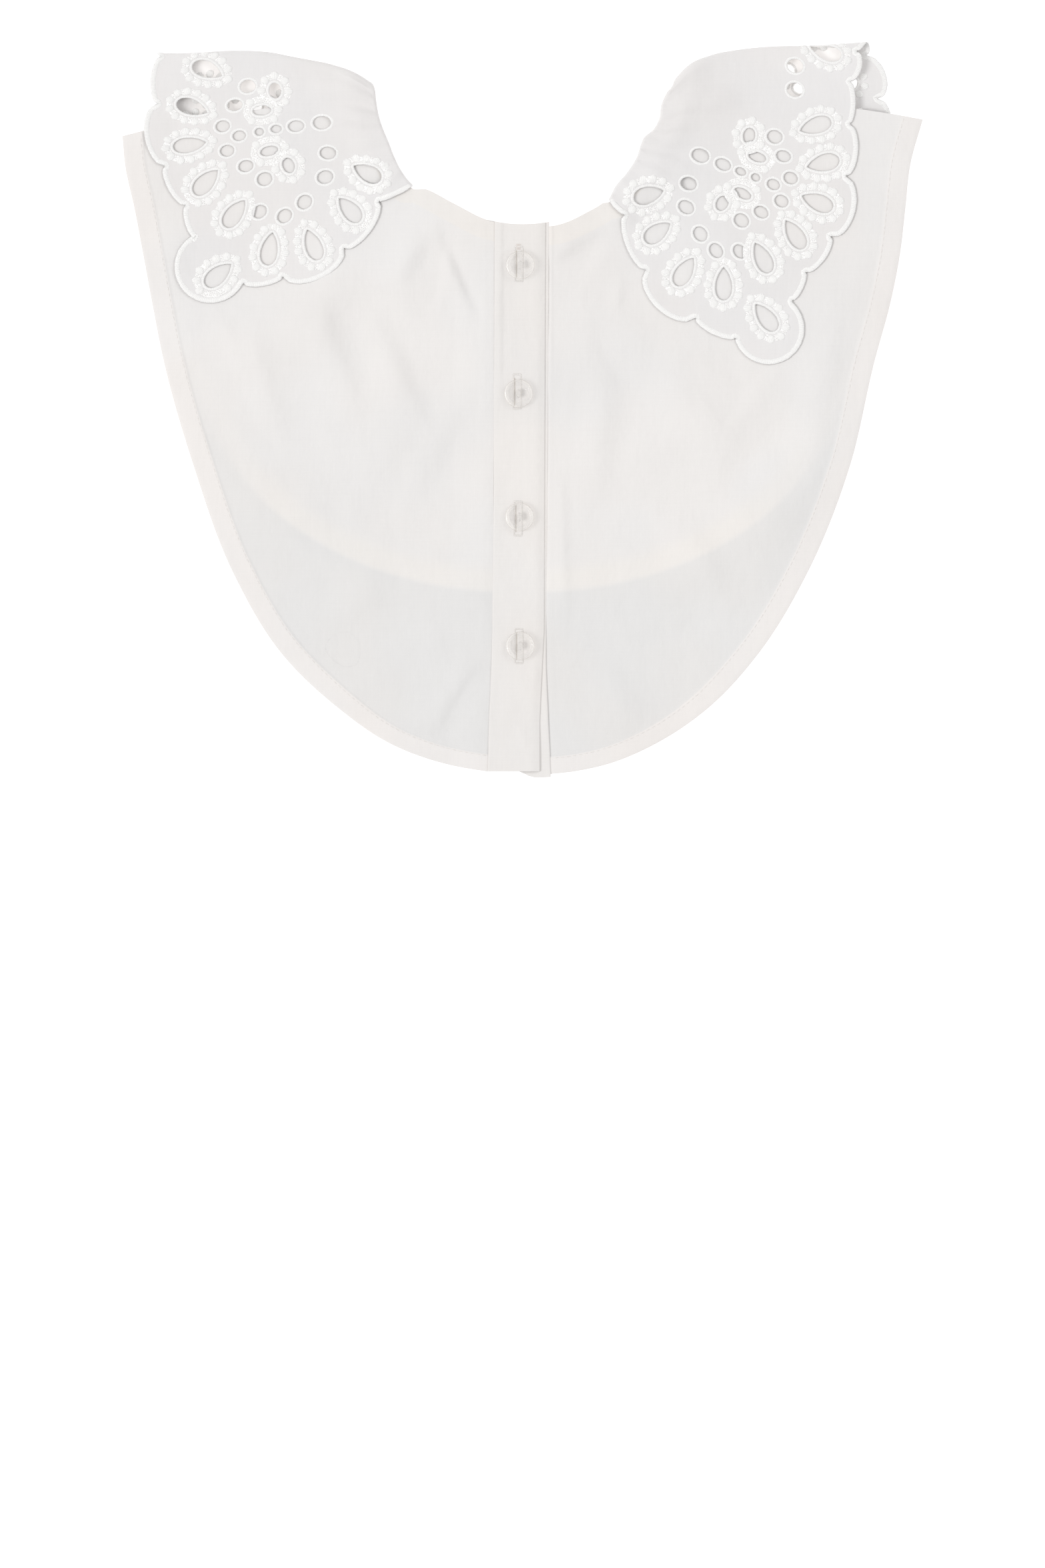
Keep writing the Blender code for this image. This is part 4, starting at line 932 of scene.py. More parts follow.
# A facing: a narrow band out from the front's neck edge and just under the front.
def makeFacing(side):
    edge = float(stripEdge("standRight" if side < 0 else "standLeft", bib["centreY"]))
    start = bearingAt(edge + side * facing["clearOfStrip"])
    bearing = np.linspace(start, side * (bib["shoulderBearing"] - 1), facing["steps"])
    out = np.array(facing["out"])[:, None]
    plan = toPlan(frontEdge(bearing) + out, np.broadcast_to(bearing, (len(out), len(bearing))))
    height = frontUnder(plan) - bib["gap"] - facing["sink"]
    names = ("facingRight", "neck_facing_right") if side < 0 else ("facingLeft", "neck_facing_left")
    return makeCloth(*names, "facing_cotton", plan, height, height - panel["thin"], voile, neckOut=0.0)


facings = {side: makeFacing(side) for side in (-1, 1)}
bandPlan = stripPlan("bandRight", "bandLeft", lambda share: np.full(len(share), bib["bandFoot"]))
band = makeStrip("buttonholeBand", "buttonhole_band", bandPlan, bandFace(bandPlan))
standFoot = [column(bib["standFoot"], index) for index in (0, 1)]
standPlan = stripPlan("standRight", "standLeft", lambda share: smoothAt(share, *standFoot))
stand = makeStrip("buttonStand", "button_stand", standPlan, frontUnder(standPlan) + strip["standRise"])
print("placket made")


# Collar

collar = {
    "foldBearing": {-1: 96.8, 1: 98.0},
    "foldTurn": 3.3,
    "foldReach": 45.0,
    "foldLift": [
        (58.7, 0.4, 0.8), (65.4, 4.0, 6.5), (77.0, 6.6, 9.5), (85.0, 7.1, 9.7), (93.0, 7.4, 9.5),
        (101.0, 7.7, 9.1), (117.0, 7.0, 8.0), (133.0, 5.8, 7.5), (141.0, 5.4, 7.3), (152.0, 5.2, 7.2),
    ],
    "ends": (-149.3, 161.9),
    "rollRadius": 1.3,
    "rollStart": 1.9,
    "rollMost": 2.4,
    "folds": [
        (-50, 113, -80, 118, 4.5, 0.8, 1.0), (-60, 128, -86, 127, 4.5, 0.6, 1.0),
        (-46, 92, -64, 84, 4.5, 0.6, 1.0), (60, 119, 88, 124, 5.0, 0.8, 1.0),
        (47, 95, 70, 90, 4.5, 0.6, 1.0),
    ],
    "gathers": 37,
    "uneven": [(0.9, 5, 0.6), (0.6, 11, 0.0), (0.35, 17, 2.0)],
    # Strength of the gathers round the neck: its level, swing, waves and shift
    "strength": (0.75, 0.25, 3, 1),
    # Finer waves on the gathers: height, waves for each gather, shift, and the radii over which they end
    "fineGathers": (0.12, 2.3, 1.1, 62, 92),
    "sink": 0.25,
    "thin": 0.34,
    # Step for the slope of the laid cloth
    "probe": 0.06,
    # Grid of the cut, and how far its points keep from the edge and the holes as shares of it
    "pitch": 1.75,
    "clearOfEdge": 0.18,
    "clearOfHole": 0.35,
    "holeReach": 10,
    # Degrees beside each fold and roll radii from the neck edge that have closer points instead
    "foldMargin": 0.6,
    "rolledOut": 2.2,
    "neckRows": (0.35, 0.7, 1.05, 1.4, 1.75, 2.1, 2.6),
    "neckSteps": 620,
    "foldRows": (61, 152, 1.3),
    "foldColumns": (-0.15, 1.15, 15),
    "foldRowsFrom": 2.7,
    "axes": [-116.9, -75.8, -36.4, 3.0, 42.2, 83.6, 131.0],
    "reaches": [1.020, 1.000, 1.000, 1.000, 1.003, 0.985, 0.957],
    "main": 5.1,
    "side": 7.8,
    "small": 6.3,
    "dips": [(0.0, 144.2), (5.1, 144.2), (12.9, 140.5), (19.7, 136.6), (30.0, 136.6)],
    "bulgeMain": 6.4,
    "bulgeSide": 5.8,
    "bulgeSmall": 3.4,
    "scallopSteps": 14,
    # The corners' own scallops: degrees from the corner motif's axis, radius of each dip, bulge after it
    "endScallops": {
        -1: [(-17.0, 142.0, 3.0), (-8.3, 143.0, 6.1), (2.8, 143.3, 3.0), (9.7, 140.0, 2.1),
             (15.2, 141.3, 0.0)],
        1: [(-23.3, 136.6, 2.0), (-15.2, 137.3, 3.8), (-5.9, 140.0, 6.6), (4.5, 143.1, 3.2),
            (11.8, 141.5, 1.8), (17.0, 143.9, 0.0)],
    },
    # Tip lobe: radius and degrees of its centre, and its own radius
    "tips": {-1: (141.5, 20.3, 14.2), 1: (144.9, 23.05, 13.9)},
    "tipSteps": 46,
    "dipSteps": 18,
    "frontDips": {
        -1: [(134.0, 25.3, 2.6), (120.2, 28.5, 7.2), (94.9, 32.3, 4.7), (72.8, 28.8, 1.2)],
        1: [(138.1, 28.0, 2.9), (121.1, 31.6, 8.0), (92.8, 34.4, 4.1), (69.2, 29.9, 1.2)],
    },
    # Kind, radius, degrees from the fan's axis, width, length and tilt
    "fan": [
        ("stem", 80.0, 0.0, 5.6, 7.2, 0), ("stem", 90.2, 0.0, 4.7, 6.5, 0),
        ("seed", 98.1, 0.0, 3.2, 4.5, 0), ("seed", 104.8, 0.0, 3.2, 3.7, 0),
        ("stem", 112.8, 0.0, 4.3, 5.4, 0), ("bloom", 97.0, 9.0, 6.4, 4.9, 0),
        ("leaf", 102.6, 4.6, 4.0, 7.4, 0), ("eye", 107.6, 10.1, 5.4, 6.3, 0),
        ("eye", 113.0, 6.4, 4.7, 6.1, 0), ("eye", 118.6, 2.5, 4.9, 5.8, 0),
        ("drop", 132.6, 0.0, 7.1, 13.3, 0), ("drop", 129.8, 7.1, 7.1, 13.3, 28),
        ("drop", 123.6, 14.1, 7.1, 13.3, 28),
    ],
    # The drop that shows beside the left fold: its fan and degrees there, and how far it is set on
    "foldDrop": (5, 14.1),
    "foldDropMove": 4.0,
    "between": ("between", 112.3, 5.8, 6.4),
    "betweenSpread": 5.2,
    "edgeEyelets": [
        ("drop", 140.6, 22.0, 7.1, 13.3, 8), ("drop", 118.2, 23.0, 7.1, 13.3, 46),
        ("drop", 103.3, 27.4, 7.1, 13.0, 74), ("drop", 83.6, 25.9, 7.1, 12.4, 97),
        ("drop", 70.0, 19.6, 7.1, 12.4, 122), ("eye", 80.8, 9.1, 5.3, 6.6, -20),
        ("eye", 85.4, 15.1, 5.3, 6.6, -10), ("eye", 97.0, 18.3, 5.4, 6.4, 10),
        ("eye", 106.5, 18.9, 5.2, 6.4, 10), ("eye", 114.4, 15.8, 5.0, 6.2, 10),
    ],
    "dropPoint": 0.6,
    "dropFullness": 1.16,
    "holeSteps": 32,
    # Satin rims, the scalloped border and the net: width, height, and how far each laps inwards
    "rim": (1.25, 0.32, 0.1),
    "rimRagged": 0.16,
    "border": (2.35, 0.38, 0.35),
    "borderRagged": 0.06,
    "borderTaper": 6,
    "borderSteps": 1700,
    "web": (3.6, 0.24, 0.4),
    # Kinds of eyelet that have a net and knots, with the number of knots round each
    "knots": {"drop": 12, "bloom": 8, "leaf": 8},
    "knotOut": 3.0,
    "knotSize": (4.0, 3.6, 0.5),
    # Least distance of a knot from other eyelets, other knots and the edge
    "knotClear": (2.6, 3.1, 3.0),
    "knotNear": 12,
    "knotEdgeSteps": 900,
    # Painted glow of the cloth inside the turn: its bearing, and what the glow ends over along the cloth and
    # outwards
    "paintedGlowBearing": 98,
    "paintedGlowAlong": (30, 42),
    "paintedGlowOut": (129, 134),
}


# Bearing of the fold at a radius.
def foldBearing(radius, side):
    lift = column(collar["foldLift"], 1 if side < 0 else 2)
    return 90 + smoothAt(radius, column(collar["foldLift"], 0), lift)


# Bearing on the cut at which the turn round the fold of that side starts.
def foldStart(bearing):
    return np.where(bearing < 0, collar["foldBearing"][-1], collar["foldBearing"][1])


# Gathers at the neck: an uneven sine round the neck, fading outwards, with a finer one on it.
def gathers(bearing, radius):
    turn = np.radians(bearing)
    start, end = collar["ends"]
    phase = collar["gathers"] * 360 / (end - start) * turn
    for size, waves, shift in collar["uneven"]:
        phase = phase + size * np.sin(waves * turn + shift)
    wave = 0.5 + 0.5 * np.sin(phase)
    level, swing, waves, shift = collar["strength"]
    strength = level + swing * np.sin(waves * turn + shift)
    size, finer, shift, start, end = collar["fineGathers"]
    fine = size * np.sin(finer * phase + shift) * fade(radius, start, end)
    return bib["gatherHeight"] * wave * strength * fade(radius, *bib["gatherRadii"]) + fine


# Plan bearing of the unfolded cloth, its share of the turn round the fold, and half the fold's height.
def folded(radius, bearing):
    side = np.where(bearing < 0, -1, 1)
    fold = foldStart(bearing)
    past = np.abs(bearing) - fold
    t = np.clip(past / collar["foldTurn"], 0, 1)
    first = np.where(side < 0, foldBearing(radius, -1), foldBearing(radius, 1))
    high = frontTopAt(toPlan(radius, side * 90.0)) + bib["gap"] + bib["wall"] / 2
    bend = (high - bib["wall"] / 2) / 2
    crease = first - np.degrees((bend + bib["wall"] / 2) / radius)
    arc = np.radians(1) * radius
    nearBack = fade(np.maximum(-past, 0) * arc, 0, collar["foldReach"])
    nearFront = fade(np.maximum(past - collar["foldTurn"], 0) * arc, 0, collar["foldReach"])
    onBack = fold + past + (crease - fold) * nearBack
    onBend = crease + np.degrees(bend / radius) * np.sin(math.pi * t)
    onFront = crease - (past - collar["foldTurn"]) + (fold - crease) * (1 - nearFront)
    turned = np.where(past <= 0, onBack, np.where(t < 1, onBend, onFront))
    return side * turned, t, bend


# Radius of the edge that the collar rolls over: back + (front - back) t as the fold turns.
def rimRadius(radius, bearing):
    planBearing, t, _ = folded(radius, bearing)
    back = neckRadius(planBearing, "Back")
    return back + (neckRadius(planBearing, "Front") - back) * t


# Middle surface of the laid collar: back under the bib, half a turn round the fold,
# front on top, and rolled down at the neck.
def laid(reach, bearing):
    start = rimRadius(reach, bearing) + collar["rollStart"]
    rolled = np.clip((start - reach) / collar["rollRadius"], 0, collar["rollMost"])
    radius = np.where(rolled > 0, start - collar["rollRadius"] * np.sin(rolled), reach)
    drop = collar["rollRadius"] * (1 - np.cos(rolled))
    planBearing, t, bend = folded(radius, bearing)
    inward = np.degrees(drop * np.sin(math.pi * t) / radius)
    plan = toPlan(radius, planBearing - np.sign(bearing) * inward)
    low = bib["wall"] / 2
    high = np.where(t >= 1, frontTopAt(plan) + bib["gap"] + low, low + 2 * bend)
    height = low + (high - low) * (1 - np.cos(math.pi * t)) / 2
    height = height + drop * np.cos(math.pi * t) + gathers(bearing, radius)
    height = height + np.where(t >= 1, creases(plan, collar["folds"]), 0)
    return raised(plan, height)


# Flat places laid and moved off the cloth along its right side by a height;
# the right side is minus the cross product of the outward and the sideways step.
def layFlat(flat, height):
    reach = np.hypot(flat[..., 0], flat[..., 1])
    bearing = np.degrees(np.arctan2(flat[..., 0], -flat[..., 1]))
    step = collar["probe"]
    base = laid(reach, bearing)
    outward = laid(reach + step, bearing) - base
    sideways = laid(reach, bearing + np.degrees(step / reach)) - base
    normal = -np.cross(outward, sideways)
    normal /= np.maximum(np.linalg.norm(normal, axis=-1), 1e-9)[..., None]
    return base + normal * (np.asarray(height) - collar["sink"])[..., None]


# Place on the unfolded cut of a radius and bearing.
def flatAt(radius, bearing):
    angle = np.radians(bearing)
    return np.stack([radius * np.sin(angle), -radius * np.cos(angle)], axis=-1)


# Share of the full radius that each part of the scalloped edge reaches.
def reachAt(bearing):
    return smoothAt(bearing, collar["axes"], collar["reaches"])


# Radius of a dip: by its degrees from the nearest motif's axis, times the reach there.
def dipRadius(bearing):
    away = np.abs(np.asarray(bearing)[..., None] - np.array(collar["axes"])).min(axis=-1)
    return smoothAt(away, column(collar["dips"], 0), column(collar["dips"], 1)) * reachAt(bearing)


# A scallop: a straight run between two dips plus a bulge of a half circle's form.
def scallop(start, end):
    t = np.linspace(0, 1, collar["scallopSteps"] + 1)[:-1]
    radius = start[1] + (end[1] - start[1]) * t + end[2] * np.sqrt(1 - (2 * t - 1) ** 2)
    return flatAt(radius, start[0] + (end[0] - start[0]) * t)


# Dips of the small scallops, evenly between two bearings.
def smallDips(start, end):
    marks = np.linspace(start, end, round((end - start) / collar["small"]) + 1)[1:]
    return [(mark, float(dipRadius(mark)), collar["bulgeSmall"]) for mark in marks]


# Scallops all along the outer edge, right end to left end; a dip has a bearing, a radius
# and the bulge of the scallop before it.
def outerEdge():
    axes, reaches, main, side = (collar[key] for key in ("axes", "reaches", "main", "side"))
    right, left = collar["endScallops"][-1][::-1], collar["endScallops"][1]
    rows = [(axes[0] - turn, radius * reaches[0], bulge) for turn, radius, bulge in right]
    for axis in axes[1:-1]:
        rows += smallDips(rows[-1][0], axis - main - side)
        for turn, bulge in ((-main, "bulgeSide"), (main, "bulgeMain"), (main + side, "bulgeSide")):
            rows.append((axis + turn, float(dipRadius(axis + turn)), collar[bulge]))
    rows += smallDips(rows[-1][0], axes[-1] + left[0][0])[:-1]
    bulges = [collar["bulgeSmall"]] + column(left, 2)
    rows += [(axes[-1] + turn, radius * reaches[-1], bulge) for (turn, radius, _), bulge in zip(left, bulges)]
    return np.vstack([scallop(*pair) for pair in zip(rows, rows[1:])] + [flatAt(*rows[-1][1::-1])])


# Tip lobe and scalloped front edge of one end, from the outer edge in to the neck.
def cornerEdge(side):
    end = 0 if side < 0 else -1
    axis, reach = collar["axes"][end], collar["reaches"][end]
    place = lambda radius, turn: flatAt(radius * reach, axis + side * turn)
    *middle, lobe = collar["tips"][side]
    centre = place(*middle)
    start = place(*collar["endScallops"][side][-1][1::-1])
    dips = [place(*row[:2]) for row in collar["frontDips"][side]]
    neckBearing = np.array([collar["ends"][end]])
    neck = flatAt(neckFlat(neckBearing), neckBearing)[0]
    angles = [math.atan2(*(point - centre)[::-1]) for point in (start, dips[0])]
    if (angles[1] - angles[0]) * side < 0:
        angles[1] += side * 2 * math.pi
    turn = np.linspace(*angles, collar["tipSteps"])[1:-1]
    path = [centre + lobe * np.column_stack([np.cos(turn), np.sin(turn)])]
    stops = dips + [neck]
    t = np.linspace(0, 1, collar["dipSteps"] + 1)[:-1, None]
    for index, row in enumerate(collar["frontDips"][side]):
        run = stops[index + 1] - stops[index]
        normal = np.array([-run[1], run[0]]) / np.hypot(*run)
        path.append(stops[index] + run * t - normal * side * row[2] * np.sqrt(1 - (2 * t - 1) ** 2))
    return np.vstack(path)


# Radius on the unfolded cut of the rolled neck edge.
def neckFlat(bearing, out=0.0):
    radius = np.full(np.shape(bearing), bib["neck"][0][1])
    return rimRadius(radius, bearing) + collar["rollStart"] - collar["rollRadius"] * math.pi / 2 + out


# Outline of one eyelet: an oval, or a drop whose width is pulled in at the neck end
# by sin(turn / 2) to a power.
def eyelet(kind, radius, bearing, width, length, tilt):
    turn = np.linspace(0, 2 * math.pi, collar["holeSteps"], endpoint=False)
    along, across = -np.cos(turn) * length / 2, np.sin(turn) * width / 2
    if kind == "drop":
        across = across * np.sin(turn / 2) ** collar["dropPoint"] * collar["dropFullness"]
    angle = math.radians(bearing + tilt)
    outward = np.array([math.sin(angle), -math.cos(angle)])
    sideways = np.array([-outward[1], outward[0]])
    return flatAt(radius, bearing) + along[:, None] * outward + across[:, None] * sideways


# Kind and outline of every eyelet on the cut.
def eyelets():
    found = []
    axes = collar["axes"]
    for index, (axis, reach) in enumerate(zip(axes, collar["reaches"])):
        for kind, radius, turn, width, length, tilt in collar["fan"]:
            for side in (-1, 1) if turn else (1,):
                moved = collar["foldDropMove"] if (index, side * turn) == collar["foldDrop"] else 0
                bearing = axis + side * turn + moved
                found.append((kind, eyelet(kind, radius * reach, bearing, width, length, side * tilt)))
        if index + 1 < len(axes):
            after = axes[index + 1]
            spare = round((after - axis - 2 * (collar["main"] + collar["side"])) / collar["small"]) - 1
            kind, radius, width, length = collar["between"]
            for place in range(spare):
                turn = (axis + after) / 2 + (place - (spare - 1) / 2) * collar["betweenSpread"]
                found.append((kind, eyelet(kind, radius * float(reachAt(turn)), turn, width, length, 0)))
    for side, end in ((-1, 0), (1, -1)):
        for kind, radius, turn, width, length, tilt in collar["edgeEyelets"]:
            found.append((kind, eyelet(kind, radius * collar["reaches"][end], axes[end] + side * turn,
                                       width, length, side * tilt)))
    return found


# Triangles inside an outline and outside its holes, on an even grid and some given points;
# the grid's rows lie sqrt(3/4) of its pitch apart.
def fineTriangles(outline, holes, pitch, extra):
    low, high = outline.min(axis=0), outline.max(axis=0)
    rows = np.arange(low[1], high[1], pitch * math.sqrt(0.75))
    across = np.arange(low[0], high[0], pitch)
    grid = np.stack(np.meshgrid(across, rows), axis=-1)
    grid[1::2, :, 0] += pitch / 2
    loose = grid.reshape(-1, 2)
    reach, bearing = np.hypot(*loose.T), np.degrees(np.arctan2(loose[:, 0], -loose[:, 1]))
    past = np.abs(bearing) - foldStart(bearing)
    bent = (past > -collar["foldMargin"]) & (past < collar["foldTurn"] + collar["foldMargin"])
    rolled = reach < neckFlat(bearing, collar["rollRadius"] * collar["rolledOut"])
    loose = np.vstack([loose[~bent & ~rolled], extra])
    loose = loose[inside(loose, outline)]
    loose = loose[distanceTo(loose, np.vstack([outline, outline[:1]])) > pitch * collar["clearOfEdge"]]
    nearHole = lambda points, hole: np.flatnonzero(
        (np.abs(points - hole.mean(axis=0)) < collar["holeReach"]).all(axis=1))
    for hole in holes:
        spot = nearHole(loose, hole)
        if len(spot):
            ring = np.vstack([hole, hole[:1]])
            close = distanceTo(loose[spot], ring) < pitch * collar["clearOfHole"]
            loose = np.delete(loose, spot[inside(loose[spot], hole) | close], axis=0)
    edges, first = [], 0
    for loop in [outline] + holes:
        index = np.arange(len(loop))
        edges += np.column_stack([first + index, first + (index + 1) % len(loop)]).tolist()
        first += len(loop)
    points = np.vstack([outline] + holes + [loose])
    result = delaunay_2d_cdt([Vector(point) for point in points.tolist()], edges, [], 1, 1e-5)
    plan = np.array([tuple(point) for point in result[0]])
    faces = np.array([tuple(face) for face in result[2]])
    middle = plan[faces].mean(axis=1)
    keep = np.ones(len(faces), dtype=bool)
    for hole in holes:
        spot = nearHole(middle, hole)
        keep[spot[inside(middle[spot], hole)]] = False
    faces = faces[keep]
    a, b, c = (plan[faces[:, corner]] for corner in range(3))
    area = (b[:, 0] - a[:, 0]) * (c[:, 1] - a[:, 1]) - (b[:, 1] - a[:, 1]) * (c[:, 0] - a[:, 0])
    whole = np.abs(area) > 1e-7
    faces, area = faces[whole], area[whole]
    faces[area < 0] = faces[area < 0][:, ::-1]
    used, index = np.unique(faces, return_inverse=True)
    return plan[used], index.reshape(faces.shape)


# Both faces of a laid cloth and the wall round its edges.
def makeLaidCloth(name, flat, faces, thick, place, material, attributes):
    count = len(flat)
    edges = np.concatenate([faces[:, [0, 1]], faces[:, [1, 2]], faces[:, [2, 0]]])
    key = np.sort(edges, axis=1)
    _, where, times = np.unique(key[:, 0] * count + key[:, 1], return_index=True, return_counts=True)
    rim = edges[where[times == 1]]
    walls = np.column_stack([rim[:, 1], rim[:, 0], rim[:, 0] + count, rim[:, 1] + count])
    upper = place(flat, np.full(count, thick / 2))
    lower = place(flat, np.full(count, -thick / 2))
    doubled = {key: np.concatenate([np.broadcast_to(values, count)] * 2)
               for key, values in attributes.items()}
    # Only the lower face, the inside of the fold, carries the painted glow
    doubled["paintedFoldGlow"][:count] = 0  # only the lower face is shaded there
    both = np.concatenate([faces, faces[:, ::-1] + count])
    piece = makePiece(name, np.concatenate([upper, lower]), [both, walls], material, None, doubled)
    piece.data.set_sharp_from_angle(angle=sharpPast["laid"])
    return piece


sewn = {
    "sides": 8,
    # Share of a bar's height that its under side has, the lowest that any stitch reaches,
    # and the start of the rounding at a bar's ends
    "under": 0.7,
    "lowest": 0.02,
    "narrowest": 0.02,
    "seed": 7,
    # Rings of a knot or stitch: share of its half width and of its height; then its top and foot
    "dome": [(0.62, 0.83), (0.93, 0.42), (1.0, -0.2), (0.7, -0.72)],
    "domeEnds": (1.0, -0.85),
    "spokes": 8,
    # Keeps what is drawn on knots clear of what is drawn at nought
    "shift": 50.0,
}


# Padded satin bars along many paths at once: an oval section carried along each path, as
# path + cos(a) w/2 sideways, sin(a) h off the cloth. Its width is made uneven by a random share,
# ragged at most, and rounded off over a few steps at open ends.
def satinBars(name, paths, closed, width, height, place, material, taper=0, ragged=0.0):
    paths = np.asarray(paths)
    count, steps = paths.shape[:2]
    if closed:
        direction = np.roll(paths, -1, axis=1) - np.roll(paths, 1, axis=1)
        lengths = np.linalg.norm(np.diff(paths, axis=1, append=paths[:, :1]), axis=2)
    else:
        direction = np.gradient(paths, axis=1)
        lengths = np.linalg.norm(np.diff(paths, axis=1, append=paths[:, -1:]), axis=2)
    direction /= np.linalg.norm(direction, axis=2)[..., None]
    sideways = np.stack([-direction[..., 1], direction[..., 0]], axis=-1)
    sides = sewn["sides"]
    section = np.linspace(0, 2 * math.pi, sides, endpoint=False)
    size = np.ones(steps)
    if taper:
        ramp = np.minimum(np.arange(steps), np.arange(steps)[::-1]) / taper
        size = np.sqrt(1 - (1 - np.clip(ramp, sewn["narrowest"], 1)) ** 2)
    off = np.cos(section) * width / 2
    rise = np.where(np.sin(section) >= 0, height, height * sewn["under"]) * np.sin(section)
    wobble = 1 + ragged * np.random.default_rng(sewn["seed"]).uniform(-1, 1, (count, steps, 1))
    flat = paths[:, :, None] + sideways[:, :, None] * (wobble * size[:, None] * off)[..., None]
    up = np.broadcast_to(size[:, None] * rise, (count, steps, sides))
    points = place(flat.reshape(-1, 2), up.reshape(-1))
    points[:, 2] = np.maximum(points[:, 2], sewn["lowest"])
    first = (np.arange(count) * steps * sides)[:, None, None]
    quads = (gridFaces(steps, sides, aroundRows=closed, aroundColumns=True)[None] + first).reshape(-1, 4)
    groups = [quads]
    if not closed:
        ends = np.stack([np.arange(sides)[::-1], (steps - 1) * sides + np.arange(sides)])
        groups.append((ends[None] + first).reshape(-1, sides))
    along = np.concatenate([np.zeros((count, 1)), np.cumsum(lengths, axis=1)[:, :-1]], axis=1)
    uv = np.stack(np.broadcast_arrays(along[:, :, None], section), axis=-1).reshape(-1, 2)
    if closed:
        # A whole number of stitches, and the last faces run on to the full length
        total = lengths.sum(axis=1)
        whole = np.round(total / satinLook["stitch"]) * satinLook["stitch"]
        uv[:, 0] *= np.repeat(whole / total, steps * sides)
        uv, most = uv[quads], np.repeat(whole, steps * sides)[:, None]
        ends = uv[..., 0].max(axis=1, keepdims=True) - uv[..., 0].min(axis=1, keepdims=True) > most / 2
        uv[..., 0] += np.where(ends & (uv[..., 0] < most / 2), most, 0)
        uv = uv.reshape(-1, 2)
    return makePiece(name, points, groups, material, uv)


# Many small rounded knots or stitches at once: an oval of length and width at each centre,
# raised as a dome above the cloth and a shallower one below.
def smallDomes(name, centre, along, size, place, material, spokes=sewn["spokes"]):
    profile = np.array(sewn["dome"])
    top, foot = sewn["domeEnds"]
    length, width, height = size
    turn = np.linspace(0, 2 * math.pi, spokes, endpoint=False)
    ring = np.stack([np.cos(turn), np.sin(turn)], axis=-1)
    local = np.concatenate([[[0, 0]], (profile[:, :1, None] * ring).reshape(-1, 2), [[0, 0]]])
    rise = np.concatenate([[top], np.repeat(profile[:, 1], spokes), [foot]]) * height
    across = np.stack([-along[:, 1], along[:, 0]], axis=-1)
    flat = centre[:, None] + local[None, :, :1] * length / 2 * along[:, None]
    flat = flat + local[None, :, 1:] * width / 2 * across[:, None]
    count, each = len(centre), len(local)
    points = place(flat.reshape(-1, 2), np.tile(rise, count))
    points[:, 2] = np.maximum(points[:, 2], sewn["lowest"])
    after = (np.arange(spokes) + 1) % spokes
    top = np.column_stack([np.zeros(spokes, dtype=int), 1 + np.arange(spokes), 1 + after])
    base = 1 + (len(profile) - 1) * spokes
    foot = np.column_stack([base + after, base + np.arange(spokes), np.full(spokes, each - 1)])
    side = gridFaces(len(profile), spokes, aroundColumns=True, first=1)[:, ::-1]
    shift = (np.arange(count) * each)[:, None, None]
    groups = [(part[None] + shift).reshape(-1, part.shape[1]) for part in (top, foot, side)]
    uv = np.tile(np.stack([local[:, 1] * width / 2, local[:, 0] * length / 2], axis=-1), (count, 1))
    return makePiece(name, points, groups, material, uv + sewn["shift"])


# Paths moved sideways, to the right of their direction.
def movedSideways(path, amount, closed=False):
    if closed:
        direction = np.roll(path, -1, axis=-2) - np.roll(path, 1, axis=-2)
    else:
        direction = np.gradient(path, axis=-2)
    direction = direction / np.linalg.norm(direction, axis=-1)[..., None]
    return path + amount * np.stack([direction[..., 1], -direction[..., 0]], axis=-1)


# Closed outlines moved out, away from their middles.
def movedOut(loops, amount):
    steps = movedSideways(loops, 1.0, True) - loops
    way = np.sign((steps * (loops - loops.mean(axis=-2, keepdims=True))).sum(axis=(-2, -1), keepdims=True))
    return loops + steps * way * amount


# Knots ringed round the drops, blooms and leaves, each left out where another lies too near.
def knotPlaces(found, edge):
    fromHole, fromKnot, fromEdge = collar["knotClear"]
    away = lambda points, spot: np.linalg.norm(points - spot, axis=1)
    centres, headings = np.zeros((0, 2)), np.zeros((0, 2))
    for wanted, count in collar["knots"].items():
        for index, (kind, outline) in enumerate(found):
            if kind != wanted:
                continue
            ring = movedOut(outline, collar["knotOut"])
            for spot in evenly(np.vstack([ring, ring[:1]]), count + 1)[:-1]:
                others = [hole for at, (_, hole) in enumerate(found)
                          if at != index and np.abs(hole.mean(axis=0) - spot).max() < collar["knotNear"]]
                clear = all(away(hole, spot).min() > fromHole for hole in others)
                clear = clear and (not len(centres) or away(centres, spot).min() > fromKnot)
                if clear and away(edge, spot).min() > fromEdge:
                    nearest = outline[away(outline, spot).argmin()]
                    centres = np.vstack([centres, spot])
                    headings = np.vstack([headings, (spot - nearest) / np.linalg.norm(spot - nearest)])
    return centres, headings


neckBearings = np.linspace(*collar["ends"], 760)[::-1]
neckLine = flatAt(neckFlat(neckBearings), neckBearings)
scalloped = np.vstack([cornerEdge(-1)[::-1], outerEdge(), cornerEdge(1)])
outline = np.vstack([scalloped, neckLine[:-1]])
found = eyelets()
holes = [loop for _, loop in found]


# Closer points where the cloth rolls over the neck edge and turns round the folds.
def closePoints():
    bearing = np.linspace(*collar["ends"], collar["neckSteps"])
    rows = [flatAt(neckFlat(bearing, out), bearing) for out in collar["neckRows"]]
    for side in (-1, 1):
        turn = side * (collar["foldBearing"][side] + collar["foldTurn"] * np.linspace(*collar["foldColumns"]))
        reach, turn = np.broadcast_arrays(np.arange(*collar["foldRows"])[:, None], turn)
        reach, turn = reach.ravel(), turn.ravel()
        rows.append(flatAt(reach, turn)[reach > neckFlat(turn, collar["foldRowsFrom"])])
    return np.vstack(rows)


